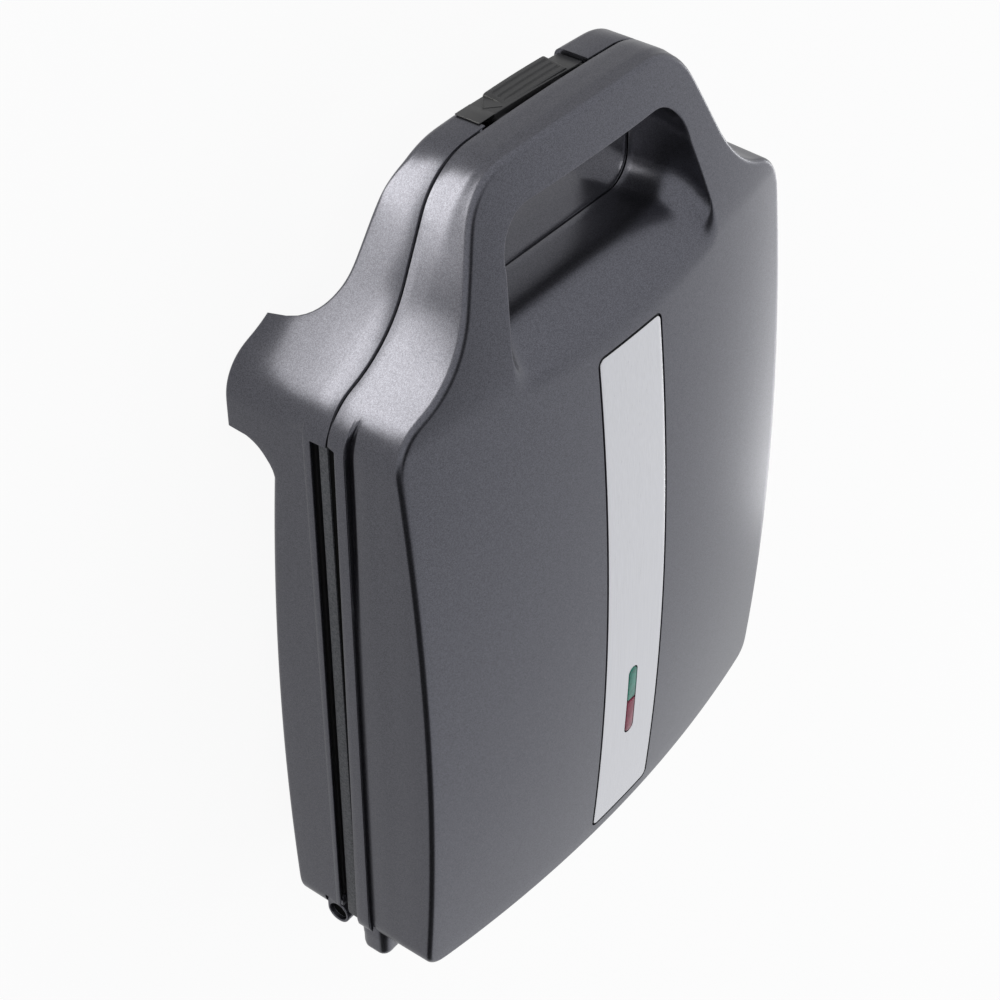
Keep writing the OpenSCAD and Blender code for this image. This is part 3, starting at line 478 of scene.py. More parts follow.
def radiusAt(ring, angles):
    # distance from the opening's centre to a ring, in the given directions
    centre = np.array((bodyPlan["gripX"], bodyPlan["gripY"]))
    fine = np.vstack([ring, ring[:1]])
    dense = np.vstack([fine[k] + (fine[k + 1] - fine[k]) * t for k in range(len(ring)) for t in (0, 0.25, 0.5, 0.75)])
    rel = dense - centre
    a = np.arctan2(rel[:, 1], rel[:, 0])
    order = np.argsort(a)
    a, r = a[order], np.linalg.norm(rel, axis=1)[order]
    a = np.concatenate([[a[-1] - 2 * math.pi], a, [a[0] + 2 * math.pi]])
    r = np.concatenate([[r[-1]], r, [r[0]]])
    # straight chords between the samples, so the sides of the opening stay straight
    x, y = r * np.cos(a), r * np.sin(a)
    k = np.clip(np.searchsorted(a, angles, side="right") - 1, 0, len(a) - 2)
    dx, dy = x[k + 1] - x[k], y[k + 1] - y[k]
    ca, sa = np.cos(angles), np.sin(angles)
    bottom = ca * dy - sa * dx
    return np.where(np.abs(bottom) < 1e-9, r[k], (x[k] * dy - y[k] * dx) / np.where(np.abs(bottom) < 1e-9, 1, bottom))


def lidFace(x, y):
    drop = np.maximum(0, bodyPlan["shoulderY"] + 6 - y)
    return 53.8 - (y - bodyPlan["crownY"])**2 / 2600 - 0.15 * drop**2 / (drop + 10) - x**2 / 1400


def belly(x, y):
    return 38.5 - 0.92 * (y - bodyPlan["crownY"])**2 / 2600 - x**2 / 6000


def easeIn(t):
    t = np.clip(t, 0, 1)
    return t * t * (3 - 2 * t)


def sideRamp(y):
    return easeIn((y - bodyPlan["stepY"] + 10) / 10)


def gripTable(angles, face, heights):
    return np.array([radiusAt(gripLevel(h, face), angles) for h in heights])


def tableAt(table, heights, z):
    # one value for each spoke from a table of rows at rising heights
    k = np.clip(np.searchsorted(heights, z) - 1, 0, len(heights) - 2)
    t = (z - heights[k]) / (heights[k + 1] - heights[k])
    col = np.arange(table.shape[1])
    return table[k, col] * (1 - t) + table[k + 1, col] * t


def skinFromRings(name, rings, closed=()):
    # a circle is drawn, then its edge is extruded again and again, each new edge pulled to its ring
    clearSelection()
    bpy.ops.mesh.primitive_circle_add(vertices=len(rings[0]), radius=0.1, fill_type="NOTHING")
    piece = bpy.context.object
    piece.name = piece.data.name = name
    bpy.ops.object.mode_set(mode="EDIT")
    mesh = bmesh.from_edit_mesh(piece.data)
    spoke = mesh.verts.layers.int.new("spoke")
    for vert in mesh.verts:
        vert[spoke] = vert.index
        vert.co = rings[0][vert.index]
    for ring in rings[1:]:
        bpy.ops.mesh.extrude_region()
        mesh = bmesh.from_edit_mesh(piece.data)
        spoke = mesh.verts.layers.int["spoke"]
        for vert in mesh.verts:
            if vert.select:
                vert.co = ring[vert[spoke]]
    if "last" in closed:
        bpy.ops.mesh.edge_face_add()
    if "first" in closed:
        bpy.ops.mesh.select_all(action="DESELECT")
        bpy.ops.mesh.select_non_manifold()
        bpy.ops.mesh.edge_face_add()
    bmesh.update_edit_mesh(piece.data)
    bpy.ops.mesh.select_all(action="SELECT")
    bpy.ops.mesh.normals_make_consistent(inside=False)
    bpy.ops.object.mode_set(mode="OBJECT")
    return piece


def faceUpwards(piece, sign):
    # turns the skin over if its broad face doesn't look up (sign 1) or down (sign -1)
    total = sum(poly.normal.z * poly.area for poly in piece.data.polygons)
    if total * sign < 0:
        pick(piece)
        bpy.ops.object.mode_set(mode="EDIT")
        bpy.ops.mesh.select_all(action="SELECT")
        bpy.ops.mesh.flip_normals()
        bpy.ops.object.mode_set(mode="OBJECT")


def thicken(piece, thickness):
    pick(piece)
    shell = piece.modifiers.new("wall", "SOLIDIFY")
    shell.thickness = thickness * mm
    shell.offset = -1.0
    bpy.ops.object.modifier_apply(modifier=shell.name)


def smooth(piece, angle=32):
    pick(piece)
    bpy.ops.object.shade_smooth_by_angle(angle=math.radians(angle))


def cutAway(piece, cutter):
    pick(piece)
    cut = piece.modifiers.new("cut", "BOOLEAN")
    cut.operation = "DIFFERENCE"
    cut.solver = "MANIFOLD"
    cut.object = cutter
    bpy.ops.object.modifier_apply(modifier=cut.name)
    bpy.data.objects.remove(cutter, do_unlink=True)


def joinTo(piece, *others):
    pick(piece)
    for other in others:
        other.select_set(True)
    bpy.ops.object.join()


def finishPiece(piece, body, slot, finish, *nodes):
    if finish:
        coat(piece, finish)
    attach(piece, body)
    if nodes:
        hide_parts(*nodes)


def ringPoints(xy, z):
    return np.column_stack([xy, z]) * mm


def openingRings(angles, face, seamLip):
    # the mouth of the grip opening: rounded edge, flared wall and the lip at the parting plane
    g = gripShape
    height = lidFace if face == "lid" else belly
    heights = np.linspace(-2, 50, 80)
    table = gripTable(angles, face, heights)
    centre = np.array((bodyPlan["gripX"], bodyPlan["gripY"]))
    way = np.column_stack([np.cos(angles), np.sin(angles)])
    at = lambda r: centre + way * r[:, None]
    top = np.full(len(angles), g["lidTop"] if face == "lid" else g["baseTop"])
    for step in range(6):
        edge = tableAt(table, heights, top)
        top = height(*at(edge).T)
    rise = np.arctan2(np.sin(angles), np.abs(np.cos(angles)))
    soft = easeIn((np.degrees(rise) - 20) / 16)
    out = g["edgeRound"] + (g["rampRound"][face] - g["edgeRound"]) * soft
    down = g["edgeRound"] + (0.62 * g["rampRound"][face] - g["edgeRound"]) * soft
    outer = at(edge + out)
    a = np.column_stack([outer, height(*outer.T)])
    b = np.column_stack([at(edge), top])
    low = top - down
    c = np.column_stack([at(tableAt(table, heights, low)), low])
    rings = []
    for t in np.linspace(0, 1, 10):
        rings.append(a * (1 - t)**2 + b * 2 * t * (1 - t) + c * t**2)
    for t in np.linspace(0, 1, 13)[1:]:
        z = low + (seamLip + 0.45 - low) * t
        rings.append(np.column_stack([at(tableAt(table, heights, z)), z]))
    z = np.full(len(angles), float(seamLip))
    lip = tableAt(table, heights, z)
    rings.append(np.column_stack([at(lip + 0.13), z + 0.13]))
    rings.append(np.column_stack([at(lip + 0.45), z]))
    return a, rings


def worldRings(rings, sign):
    # heights from the parting plane become places in the scene
    return [np.column_stack([ring[:, 0], ring[:, 1], bodyPlan["seamZ"] + sign * ring[:, 2]]) * mm for ring in rings]


# lid housing: lip, side band with its ledge and cove, drafted wall, rounded edge, crowned face, grip opening
lidShape = {
    "lip": 0.5, "seamSlot": 3.1, "bandOut": 1.2, "bandTop": 8.5, "bandRound": 0.5, "cove": 0.6, "coveMore": 1.6,
    "coveLength": 95.0,
    "draft": 0.8, "edge": 2.3, "faceRings": 36,
    "standOffX": (112.0, 119.2), "standOffZ": (5.3, 10.2), "standOffLength": 10.0,
    "innerWidth": 123.9,
}


def seamSlot(y):
    # the lid's lower edge lifts behind the handle and comes down again towards the hinge
    p = bodyPlan
    start = p["stepY"] + 3
    fade = np.clip((p["rearY"] - 14 - y) / (p["rearY"] - 14 - start), 0, 1)
    return lidShape["seamSlot"] * easeIn((y - start) / 1.2) * (0.3 + 0.7 * fade) * (y < p["rearY"] - 6)


def buildLidSkin():
    s = lidShape
    step = bodyPlan["stepY"]
    xy, out = spokes([step + d for d in (2.6, 3.0, 3.3, 3.6, 3.9, 4.2, 4.6)])
    y = xy[:, 1]
    ramp = sideRamp(y)
    move = lambda d: xy - out * np.broadcast_to(d, len(xy))[:, None]
    rings = []

    def add(d, z):
        rings.append(np.column_stack([move(d), np.broadcast_to(z, len(xy))]))

    lip = s["lip"] + seamSlot(y)
    band = -s["bandOut"] * ramp
    add(band + 0.45, lip)
    add(band + 0.13, lip + 0.13)
    add(band, lip + 0.45)
    for z in (4.5, 6.4):
        add(band, z)
    for a in np.radians((0, 30, 60, 90)):
        add(band + s["bandRound"] * ramp * (1 - math.cos(a)), s["bandTop"] - s["bandRound"] * (1 - math.sin(a)))
    near = ramp * easeIn(1 - (y - step) / s["coveLength"])
    deep = s["cove"] * ramp + s["coveMore"] * near
    inner = band + s["bandRound"] * ramp
    level = lambda plain, worked: s["bandTop"] + plain * (1 - ramp) + worked * ramp
    sunk = 0.7 * near * easeIn((y - step - 3) / 8)
    add(inner + 0.10 * ramp, level(0.3, -sunk))
    add(inner + 0.28 * ramp, level(0.6, 0.02 - sunk))
    add(inner + 0.40 * ramp, level(0.9, 0.04))
    add(0.25 * ramp, level(1.2, 0.06))
    add(0.32 * ramp, level(1.5, 0.02))
    add(deep, level(1.8, 0.04))
    add(deep + 0.02, level(2.2, 0.8))
    add(0.5 * ramp + 0.4 * near + 0.03, level(2.6, 1.9))
    add(0.3 * ramp + 0.05, s["bandTop"] + 3.2)
    foot = 0.3 * ramp + 0.05
    wallTop = lidFace(*move(s["draft"]).T) - s["edge"]
    for t in (0.3, 0.65):
        add(foot + (s["draft"] - foot) * t, s["bandTop"] + 3.2 + (wallTop - s["bandTop"] - 3.2) * t)
    for a in np.radians(np.linspace(0, 90, 9)):
        d = s["draft"] + s["edge"] * (1 - math.cos(a))
        add(d, lidFace(*move(d).T) - s["edge"] * (1 - math.sin(a)))
    angles = np.arctan2(y - bodyPlan["gripY"], xy[:, 0] - bodyPlan["gripX"])
    mouth, opening = openingRings(angles, "lid", s["lip"])
    last = move(s["draft"] + s["edge"])
    for t in (1 - (1 - np.linspace(0, 1, s["faceRings"]))**1.25)[1:-1]:
        p = last + (mouth[:, :2] - last) * t
        rings.append(np.column_stack([p, lidFace(*p.T)]))
    skin = skinFromRings("lid_housing", worldRings(rings + opening, 1))
    faceUpwards(skin, 1)
    return skin


def crownedSheet(name, half, y0, y1, corner, lift, cells=(12, 70)):
    # a grid pulled into a rounded rectangle that follows the lid's crown
    clearSelection()
    bpy.ops.mesh.primitive_grid_add(x_subdivisions=cells[0], y_subdivisions=cells[1], size=2.0)
    sheet = bpy.context.object
    sheet.name = sheet.data.name = name
    middle, reach = (y0 + y1) / 2, (y1 - y0) / 2
    cornerRows = 6
    for vert in sheet.data.vertices:
        u, v = vert.co.x, vert.co.y
        row = (v + 1) / 2 * cells[1]
        edge = min(row, cells[1] - row)
        if edge < cornerRows:
            a = math.pi / 2 * (1 - edge / cornerRows)
            depth = corner * (1 - math.sin(a))
            width = half - corner + corner * math.cos(a)
        else:
            depth = corner + (edge - cornerRows) / (cells[1] / 2 - cornerRows) * (reach - corner)
            width = half
        y = middle + math.copysign(reach - depth, v) if abs(v) > 1e-6 else middle
        x = u * width
        vert.co = Vector((x, y, bodyPlan["seamZ"] + float(lidFace(x, y)) + lift)) * mm
    return sheet


def raiseSheet(sheet, height):
    # the sheet becomes a solid by an extrusion along Z
    pick(sheet)
    bpy.ops.object.mode_set(mode="EDIT")
    bpy.ops.mesh.select_all(action="SELECT")
    bpy.ops.mesh.extrude_region_move(TRANSFORM_OT_translate={"value": (0, 0, height * mm)})
    bpy.ops.mesh.select_all(action="SELECT")
    bpy.ops.mesh.normals_make_consistent(inside=False)
    bpy.ops.object.mode_set(mode="OBJECT")


stripShape = {"half": 20.0, "from": -89.7, "to": 164.3, "corner": 2.6, "gap": 1.2, "thickness": 0.8, "recess": 1.6,
              "windowY": 98.3, "windowWidth": 6.6, "windowLength": 40.0, "edge": 0.06}


def windowCutter(grow):
    w = stripShape
    radius = w["windowWidth"] / 2 + grow
    straight = (w["windowLength"] - w["windowWidth"]) / 2
    ring = [(radius * math.cos(a), w["windowY"] + math.copysign(straight, math.sin(a + 1e-9)) + radius * math.sin(a))
            for a in np.radians(np.linspace(0, 360, 48, endpoint=False) + 3.75)]
    low = [(x * mm, y * mm, 0.085) for x, y in ring]
    high = [(x * mm, y * mm, 0.115) for x, y in ring]
    return skinFromRings("window_cutter", [low, high], closed=("first", "last"))


def buildLid():
    skin = buildLidSkin()
    outer, widest = len(skin.data.vertices), lidShape["innerWidth"] * mm
    thicken(skin, bodyPlan["wall"])
    for vert in skin.data.vertices[outer:]:  # the inner wall keeps behind the side band
        vert.co.x = max(-widest, min(widest, vert.co.x))
    w = stripShape
    recess = crownedSheet("recess_cutter", w["half"] + w["gap"], w["from"] - w["gap"], w["to"] + w["gap"],
                          w["corner"] + w["gap"], -w["recess"])
    raiseSheet(recess, 14)
    cutAway(skin, recess)
    cutAway(skin, windowCutter(0.6))
    feet = [standOff(side) for side in (1, -1)]
    joinTo(skin, *feet)
    smooth(skin)
    finishPiece(skin, "lid", "housing", "housing", "lid_shell")
    print("lid housing:", len(skin.data.polygons), "faces")
    return skin


def standOff(side):
    # rounded foot behind the lid: an oval drawn back from the rear wall, its end rounded over
    s = lidShape
    x0, x1 = s["standOffX"]
    z0, z1 = (bodyPlan["seamZ"] + z for z in s["standOffZ"])
    rings = []
    rear = bodyPlan["rearY"]
    for grow, y in ((5.0, rear - 9), (4.9, rear - 2.4), (4.75, rear + 0.2), (4.6, rear + 1.2), (4.5, rear + 6.4), (4.15, rear + 8.2),
                    (3.4, rear + 9.3), (2.2, rear + 9.85), (0.9, rear + s["standOffLength"])):
        ring = []
        for a in np.radians(np.linspace(0, 360, 40, endpoint=False)):
            cx = x1 if math.cos(a) > 0 else x0
            cz = z1 if math.sin(a) > 0 else z0
            ring.append((side * (cx + grow * math.cos(a)) * mm, y * mm, (cz + grow * math.sin(a)) * mm))
        rings.append(ring)
    return skinFromRings("stand_off", rings, closed=("first", "last"))


# base housing: rim, side band, wall down to the belly or to the sole of a front leg, belly, grip opening
baseShape = {
    "lip": 0.5, "rimDrop": 8.0, "rimRound": 0.6, "bandOut": 0.8, "bandFoot": (3.9, 2.4), "edge": 2.8, "soleEdge": 1.6,
    "sole": 1.2, "legTip": 99.2, "legBack": -80.6, "legDepth": 14.0, "backRadius": 17.0, "backZ": 22.23,
    "tipRadius": 24.55, "tipZ": 27.75, "lead": (58.0, 91.0), "stepY": -93.6, "bellyRings": 24,
    "footX": 95.0, "footY": 147.3, "footRadius": 12.0,
    "notch": (-28.25, 33.75), "notchDepth": 6.4,
    "bracketIn": 87.0, "bracketFront": 162.0, "bracketFloor": 33.6,
    "glandX": -46.0, "glandZ": 26.0, "glandRadius": 4.9,
    "screwX": 115.5, "screwY": (-49.1, 131.3),
}


def legDepthAt(x, y):
    # how far below the parting plane the outer wall of a leg reaches; nothing outside the legs
    s = baseShape
    rear = s["legBack"] + s["backRadius"]
    behind = s["backZ"] - s["backRadius"] + np.sqrt(np.maximum(0, s["backRadius"]**2 - np.minimum(0, y - rear)**2))
    side = np.where(y < s["legBack"], s["sole"], np.where(y < rear, behind, 99))
    inner = s["legTip"] - s["tipRadius"]
    beside = s["tipZ"] - s["tipRadius"] + np.sqrt(np.maximum(0, s["tipRadius"]**2 - np.maximum(0, np.abs(x) - inner)**2))
    front = np.where(np.abs(x) > s["legTip"], s["sole"], np.where(np.abs(x) > s["lead"][0], beside, 99))
    depth = bodyPlan["seamZ"] - np.maximum(side, front)
    lead = easeIn((np.abs(x) - s["lead"][0]) / (s["lead"][1] - s["lead"][0]))
    plain = belly(x, y)
    return np.where((depth > plain) & (lead < 1), plain + (depth - plain) * lead, depth)


def buildBaseSkin():
    s = baseShape
    step = s["stepY"]
    xy, out = spokes([step + d for d in (-1.0, -0.6, -0.45, -0.2, -0.02, 0.02, 0.2, 0.6, 1.2)]
                     + [s["legBack"] + d for d in (-0.4, -0.02, 0.02, 0.5, 1.5, 3.0, 5.0)])
    x, y = xy.T
    ramp = easeIn((y - step + 8.5) / 8)
    move = lambda d: xy - out * np.broadcast_to(d, len(xy))[:, None]
    rings = []

    def add(d, depth):
        rings.append(np.column_stack([move(d), np.broadcast_to(depth, len(xy))]))

    r = s["rimRound"]
    before = np.clip((step - y) / r, 0, 1)
    after = np.clip((y - step) / r, 0, 1)
    rim = np.where(y < step, s["lip"] + r * (1 - np.sqrt(1 - (1 - before)**2)),
                   s["rimDrop"] - r * (1 - np.sqrt(1 - (1 - after)**2)))
    leg = legDepthAt(x, y)
    bottom = lambda d: np.maximum(leg, belly(*move(d).T))
    tall = bottom(0) - belly(x, y)
    edge = s["edge"] + (s["soleEdge"] - s["edge"]) * np.clip(tall / 4, 0, 1)
    wallEnd = bottom(0) - edge
    band = -s["bandOut"] * ramp
    add(band + 0.45, rim)
    add(band + 0.13, rim + 0.13)
    add(band, rim + 0.45)
    along = np.clip((y - step) / (bodyPlan["rearY"] - step), 0, 1)
    foot = s["rimDrop"] + s["bandFoot"][0] + (s["bandFoot"][1] - s["bandFoot"][0]) * along
    for k, (d, depth) in enumerate(((1.0, foot - 1.6), (1.0, foot - 0.7), (0.8, foot - 0.3), (0.2, foot - 0.05), (0.0, foot + 0.2))):
        add(band * d, np.minimum(np.maximum(depth, rim + 0.5 + 0.1 * k), wallEnd - 0.2 * (5 - k)))
    ended = rings[-1][:, 2]
    for t in (0.33, 0.66):
        add(0, ended + (wallEnd - ended) * t)
    for a in np.radians(np.linspace(0, 90, 8)):
        d = edge * (1 - math.cos(a))
        add(d, bottom(d) - edge * (1 - math.sin(a)))
    angles = np.arctan2(y - bodyPlan["gripY"], x - bodyPlan["gripX"])
    mouth, opening = openingRings(angles, "base", s["lip"])
    room = np.linalg.norm(mouth[:, :2] - xy, axis=1)
    room = sum(np.roll(room, k) for k in range(-3, 4)) / 7
    thick = np.minimum(6 + (s["legDepth"] - 6) * easeIn(tall / 5), 0.8 * room - 4)
    for t in (0.35, 0.7):
        d = edge + (thick - 1 - edge) * t
        add(d, bottom(d))
    tall = np.maximum(0, leg - belly(*move(thick).T))
    flat = 0.15 * (1 - np.clip(tall, 0, 1))
    for d, depth in ((-1, tall), (-0.3 - flat, tall - np.minimum(0.3, 0.3 * tall)), (-flat, tall - np.minimum(1, 0.5 * tall)),
                     (flat, np.minimum(3.0, 0.42 * tall)), (0.5, np.minimum(1.4, 0.25 * tall)),
                     (1.4, np.minimum(0.5, 0.1 * tall)), (3.0, 0 * tall)):
        add(thick + d, belly(*move(thick + d).T) + depth)
    last = rings[-1][:, :2]
    for t in (1 - (1 - np.linspace(0, 1, s["bellyRings"]))**1.2)[1:-1]:
        p = last + (mouth[:, :2] - last) * t
        rings.append(np.column_stack([p, belly(*p.T)]))
    skin = skinFromRings("base_housing", worldRings(rings + opening, -1))
    faceUpwards(skin, -1)
    return skin


def boxCutter(low, high, bevel=0.0):
    clearSelection()
    size = [(b - a) * mm for a, b in zip(low, high)]
    bpy.ops.mesh.primitive_cube_add(size=1, location=[(a + b) / 2 * mm for a, b in zip(low, high)])
    box = bpy.context.object
    box.scale = size
    bpy.ops.object.transform_apply(location=True, rotation=True, scale=True)
    if bevel:
        bpy.ops.object.mode_set(mode="EDIT")
        bpy.ops.mesh.select_all(action="SELECT")
        bpy.ops.mesh.bevel(offset=bevel * mm, segments=3)
        bpy.ops.object.mode_set(mode="OBJECT")
    return box


def tube(radii, stations, centre, axis, count=40):
    # turned piece: circles of the given radii at stations along an axis ("x", "y" or "z")
    rings = []
    for radius, station in zip(radii, stations):
        ring = []
        for a in np.radians(np.linspace(0, 360, count, endpoint=False)):
            u, v = radius * math.cos(a), radius * math.sin(a)
            place = {"x": (station, u, v), "y": (v, station, u), "z": (u, v, station)}[axis]
            ring.append([(c + p) * mm for c, p in zip(centre, place)])
        rings.append(ring)
    return skinFromRings("tube", rings, closed=("first", "last"))


def buildBase():
    s = baseShape
    skin = buildBaseSkin()
    thicken(skin, bodyPlan["wall"])
    front, seam = bodyPlan["frontY"], bodyPlan["seamZ"]
    cutAway(skin, boxCutter((s["notch"][0], front - 5, -2), (s["notch"][1], front + s["notchDepth"], seam + 4), 0.8))
    for side in (1, -1):
        x = sorted((side * s["bracketIn"], side * 140))
        cutAway(skin, boxCutter((x[0], s["bracketFront"], s["bracketFloor"]), (x[1], 190, seam + 4)))
    cutAway(skin, tube((s["glandRadius"],) * 2, (160, 186), (s["glandX"], 0, s["glandZ"]), "y"))
    for x in (-s["screwX"], s["screwX"]):
        for y in s["screwY"]:
            deep = seam - float(belly(x, y))
            cutAway(skin, tube((3.4, 3.4), (-2, deep + 4), (x, y, 0), "z", 28))
    parts = []
    for x in (-s["footX"], s["footX"]):
        top = seam - float(belly(x, s["footY"])) + 1.5
        r = s["footRadius"]
        parts.append(tube((r - 4, r - 1.6, r - 1.1, r - 0.9, r + 0.6, r + 1.4, r + 2.6), (1.2, 1.2, 1.45, 1.9, top - 3.4, top - 1.6, top),
                          (x, s["footY"], 0), "z", 56))
    for x in (-s["screwX"], s["screwX"]):
        for y in s["screwY"]:
            deep = seam - float(belly(x, y))
            parts.append(tube((4.2, 4.2, 1.75, 1.75), (37.9, deep + 3.6, deep + 3.6, 37.9), (x, y, 0), "z", 28))
    wallBack = front + s["notchDepth"]
    parts.append(boxCutter((s["notch"][0] - 3, wallBack, seam - 15.4), (s["notch"][1] + 3, wallBack + 2.4, seam - 0.8), 0.3))
    joinTo(skin, *parts)
    smooth(skin)
    finishPiece(skin, "base", "housing", "housing", "base_shell")
    print("base housing:", len(skin.data.polygons), "faces")
    return skin


lid = buildLid()
base = buildBase()


# brushed strip on the lid, with the window of the two lights
def buildStrip():
    w = stripShape
    strip = crownedSheet("brushed_strip", w["half"], w["from"], w["to"], w["corner"], -w["thickness"], (20, 100))
    raiseSheet(strip, w["thickness"])
    cutAway(strip, windowCutter(0))
    pick(strip)
    soft = strip.modifiers.new("edge", "BEVEL")
    soft.width = w["edge"] * mm
    soft.segments = 2
    soft.limit_method = "ANGLE"
    bpy.ops.object.modifier_apply(modifier=soft.name)
    smooth(strip, 30)
    finishPiece(strip, "lid", "brushed_trim", "brushedStrip", "trim_plate")
    print("strip:", len(strip.data.polygons), "faces")


buildStrip()


# near-black, unreflective sheet behind the second side slot: painted shade that makes the slot read black
shadeSheetShape = {"inset": 1.35, "thickness": 0.5, "from": 50.2, "to": 56.5, "front": -97.6, "rear": 160.0}


def buildShadeSheets():
    s = shadeSheetShape
    for side in (1, -1):
        outer = bodyPlan["halfWidth"] - s["inset"]
        x = sorted((side * outer, side * (outer - s["thickness"])))
        wall = boxCutter((x[0], s["front"], s["from"]), (x[1], s["rear"], s["to"]), 0.12)
        wall.name = wall.data.name = "slot_shade_sheet_" + ("right" if side > 0 else "left")
        # painted shade: the sheet's black stands in for the slot's shadow
        finishPiece(wall, "lid", "black_plastic", "paintedShade")


buildShadeSheets()


# latch: sloping slide plate with a tongue at one end, ribbed finger pad, arrow, and two hooks behind
latchShape = {
    "left": 34.75, "right": -27.75, "frontLeft": -182.3, "frontRight": -180.1, "back": -178.5, "tongueFrom": 25.95,
    "tongueBack": -181.45, "tongueEdge": 0.12, "low": 37.5, "high": 48.7, "edge": 0.45, "bow": 0.6,
    "pad": (-18.5, 18.5), "padHigh": 48.1, "padFoot": -183.28, "padHead": -181.9,
    "grooves": (40.1, 42.9, 45.7), "grooveWidth": 1.5, "grooveDepth": 0.65,
    "hooks": (-14.0, 19.0), "hookFront": -178.3, "hookBack": -176.2,
}


def latchBow(x):
    # the latch curves back towards both ends
    s = latchShape
    middle, half = (s["left"] + s["right"]) / 2, (s["left"] - s["right"]) / 2
    return s["bow"] * ((x - middle) / half)**2


def latchFront(x):
    s = latchShape
    plain = s["frontRight"] + (s["frontLeft"] - s["frontRight"]) * (x - s["right"]) / (s["left"] - s["right"])
    return plain - 0.25 + latchBow(x)


def slidePlate():
    s = latchShape
    rings = []
    stations = [s["right"], s["right"] + 0.12, s["right"] + s["edge"], *np.linspace(-20, 25.5, 8), s["tongueFrom"],
                s["tongueFrom"] + 0.1, 30, s["left"] - s["edge"], s["left"] - 0.12, s["left"]]
    for x in stations:
        ends = min(x - s["right"], s["left"] - x)
        edge = s["tongueEdge"] if x > s["tongueFrom"] + 0.05 else s["edge"]
        draw = edge * (1 - math.sqrt(max(0, 1 - (1 - min(1, ends / edge))**2)))
        front, back = latchFront(x) + draw, (s["tongueBack"] if x > s["tongueFrom"] + 0.05 else s["back"]) - draw
        low, high = s["low"] + draw, s["high"] - draw
        ring = []
        r = min(s["edge"], (back - front) / 2 - 0.02)
        for cy, cz, a0 in ((back - r, high - r, 0), (front + r, high - r, 90), (front + r, low + r, 180), (back - r, low + r, 270)):
            for a in np.radians((a0, a0 + 30, a0 + 60, a0 + 90)):
                ring.append((x * mm, (cy + r * math.cos(a)) * mm, (cz + r * math.sin(a)) * mm))
        rings.append(ring)
    return skinFromRings("slide_plate", rings, closed=("first", "last"))


def fingerPad():
    s = latchShape
    levels = [s["low"] + 0.05, s["low"] + 0.2, s["low"] + 0.6]
    for z in s["grooves"]:
        h = s["grooveWidth"] / 2
        levels += [z - h - 0.15, z - h, z - h * 0.55, z, z + h * 0.55, z + h, z + h + 0.15]
    levels += [s["padHigh"] - 0.5, s["padHigh"] - 0.15, s["padHigh"]]
    x0, x1 = s["pad"]
    stations = [(x0, 1, 0), (x0 + 0.15, 0.5, 0), (x0 + 0.7, 0.1, 0), (x0 + 1.4, 0, 0), (x0 + 1.9, 0, 0.0), (x0 + 2.3, 0, 0.8), (x0 + 2.8, 0, 1)]
    stations += [(x, 0, 1) for x in np.linspace(-13, 13, 6)]
    stations += [(x1 - 2.8, 0, 1), (x1 - 2.3, 0, 0.8), (x1 - 1.9, 0, 0), (x1 - 1.4, 0, 0), (x1 - 0.7, 0.1, 0), (x1 - 0.15, 0.5, 0), (x1, 1, 0)]
    rings = []
    for x, sink, cut in stations:
        plate = latchFront(x)
        ring = []
        for z in levels:
            t = (z - s["low"]) / (s["padHigh"] - s["low"])
            y = s["padFoot"] + (s["padHead"] - s["padFoot"]) * t + latchBow(x) * 1.6
            ends = min(z - s["low"], s["padHigh"] - z)
            y += 0.55 * (1 - min(1, ends / 0.6))**2
            near = min(abs(z - g) for g in s["grooves"]) / (s["grooveWidth"] / 2)
            y += cut * s["grooveDepth"] * math.sqrt(max(0, 1 - min(1, near)**2))
            ring.append((x * mm, (y + (plate + 0.1 - y) * sink * 0.9) * mm, z * mm))
        ring += [(x * mm, -179.5 * mm, s["padHigh"] * mm), (x * mm, -179.5 * mm, levels[0] * mm)]
        rings.append(ring)
    return skinFromRings("finger_pad", rings, closed=("first", "last"))


def arrowBar(x0, z0, x1, z1):
    # thin raised bar on the slide plate, from one point to another
    length, turn = math.hypot(x1 - x0, z1 - z0), math.atan2(z1 - z0, x1 - x0)
    y = latchFront((x0 + x1) / 2)
    bar = boxCutter((-length / 2, -0.22, -0.28), (length / 2, 0.3, 0.28), 0.12)
    bar.rotation_euler = (0, -turn, 0)
    bar.location = ((x0 + x1) / 2 * mm, y * mm, (z0 + z1) / 2 * mm)
    pick(bar)
    bpy.ops.object.transform_apply(location=True, rotation=True, scale=True)
    return bar


def buildLatch():
    s = latchShape
    slide = slidePlate()
    parts = [fingerPad(), arrowBar(25.5, 43.2, 20.2, 47.6), arrowBar(25.5, 43.2, 20.2, 38.8)]
    front, back = s["hookFront"], s["hookBack"]
    for x in s["hooks"]:
        parts.append(boxCutter((x, s["back"] - 0.6, 42), (x + 6, back, 51.2), 0.2))
        parts.append(boxCutter((x, front, 50), (x + 6, back, 60.9), 0.25))
        parts.append(boxCutter((x - 6, front, 58.1), (x + 1, back, 60.9), 0.25))
    joinTo(slide, *parts)
    smooth(slide, 35)
    finishPiece(slide, "latch", "latch_plastic", "latchPlastic", "latch_slider")
    slide.name = slide.data.name = "latch_slider_finished"
    bed = bodyPlan["frontY"] + baseShape["notchDepth"]
    # near-black, unreflective sheet on the latch bed: painted shade in the gap around the slide plate
    bedShade = boxCutter((baseShape["notch"][0] + 0.5, bed - 0.45, 36.2), (baseShape["notch"][1] - 0.5, bed - 0.1, 51.0), 0.1)
    bedShade.name = bedShade.data.name = "latch_bed_shade"
    finishPiece(bedShade, "base", "black_plastic", "paintedShade")
    print("latch:", len(slide.data.polygons), "faces")


buildLatch()


# cooking plates: a fine grid sunk into eight triangular pockets between rounded ridges
plateShape = {"width": 216.0, "length": 240.0, "y": 36.3, "corner": 14.0, "thickness": 2.6, "ridge": 7.0, "depth": 12.0,
              "level": 44.5, "gap": 0.15, "cells": (170, 190), "cornerRows": 9}


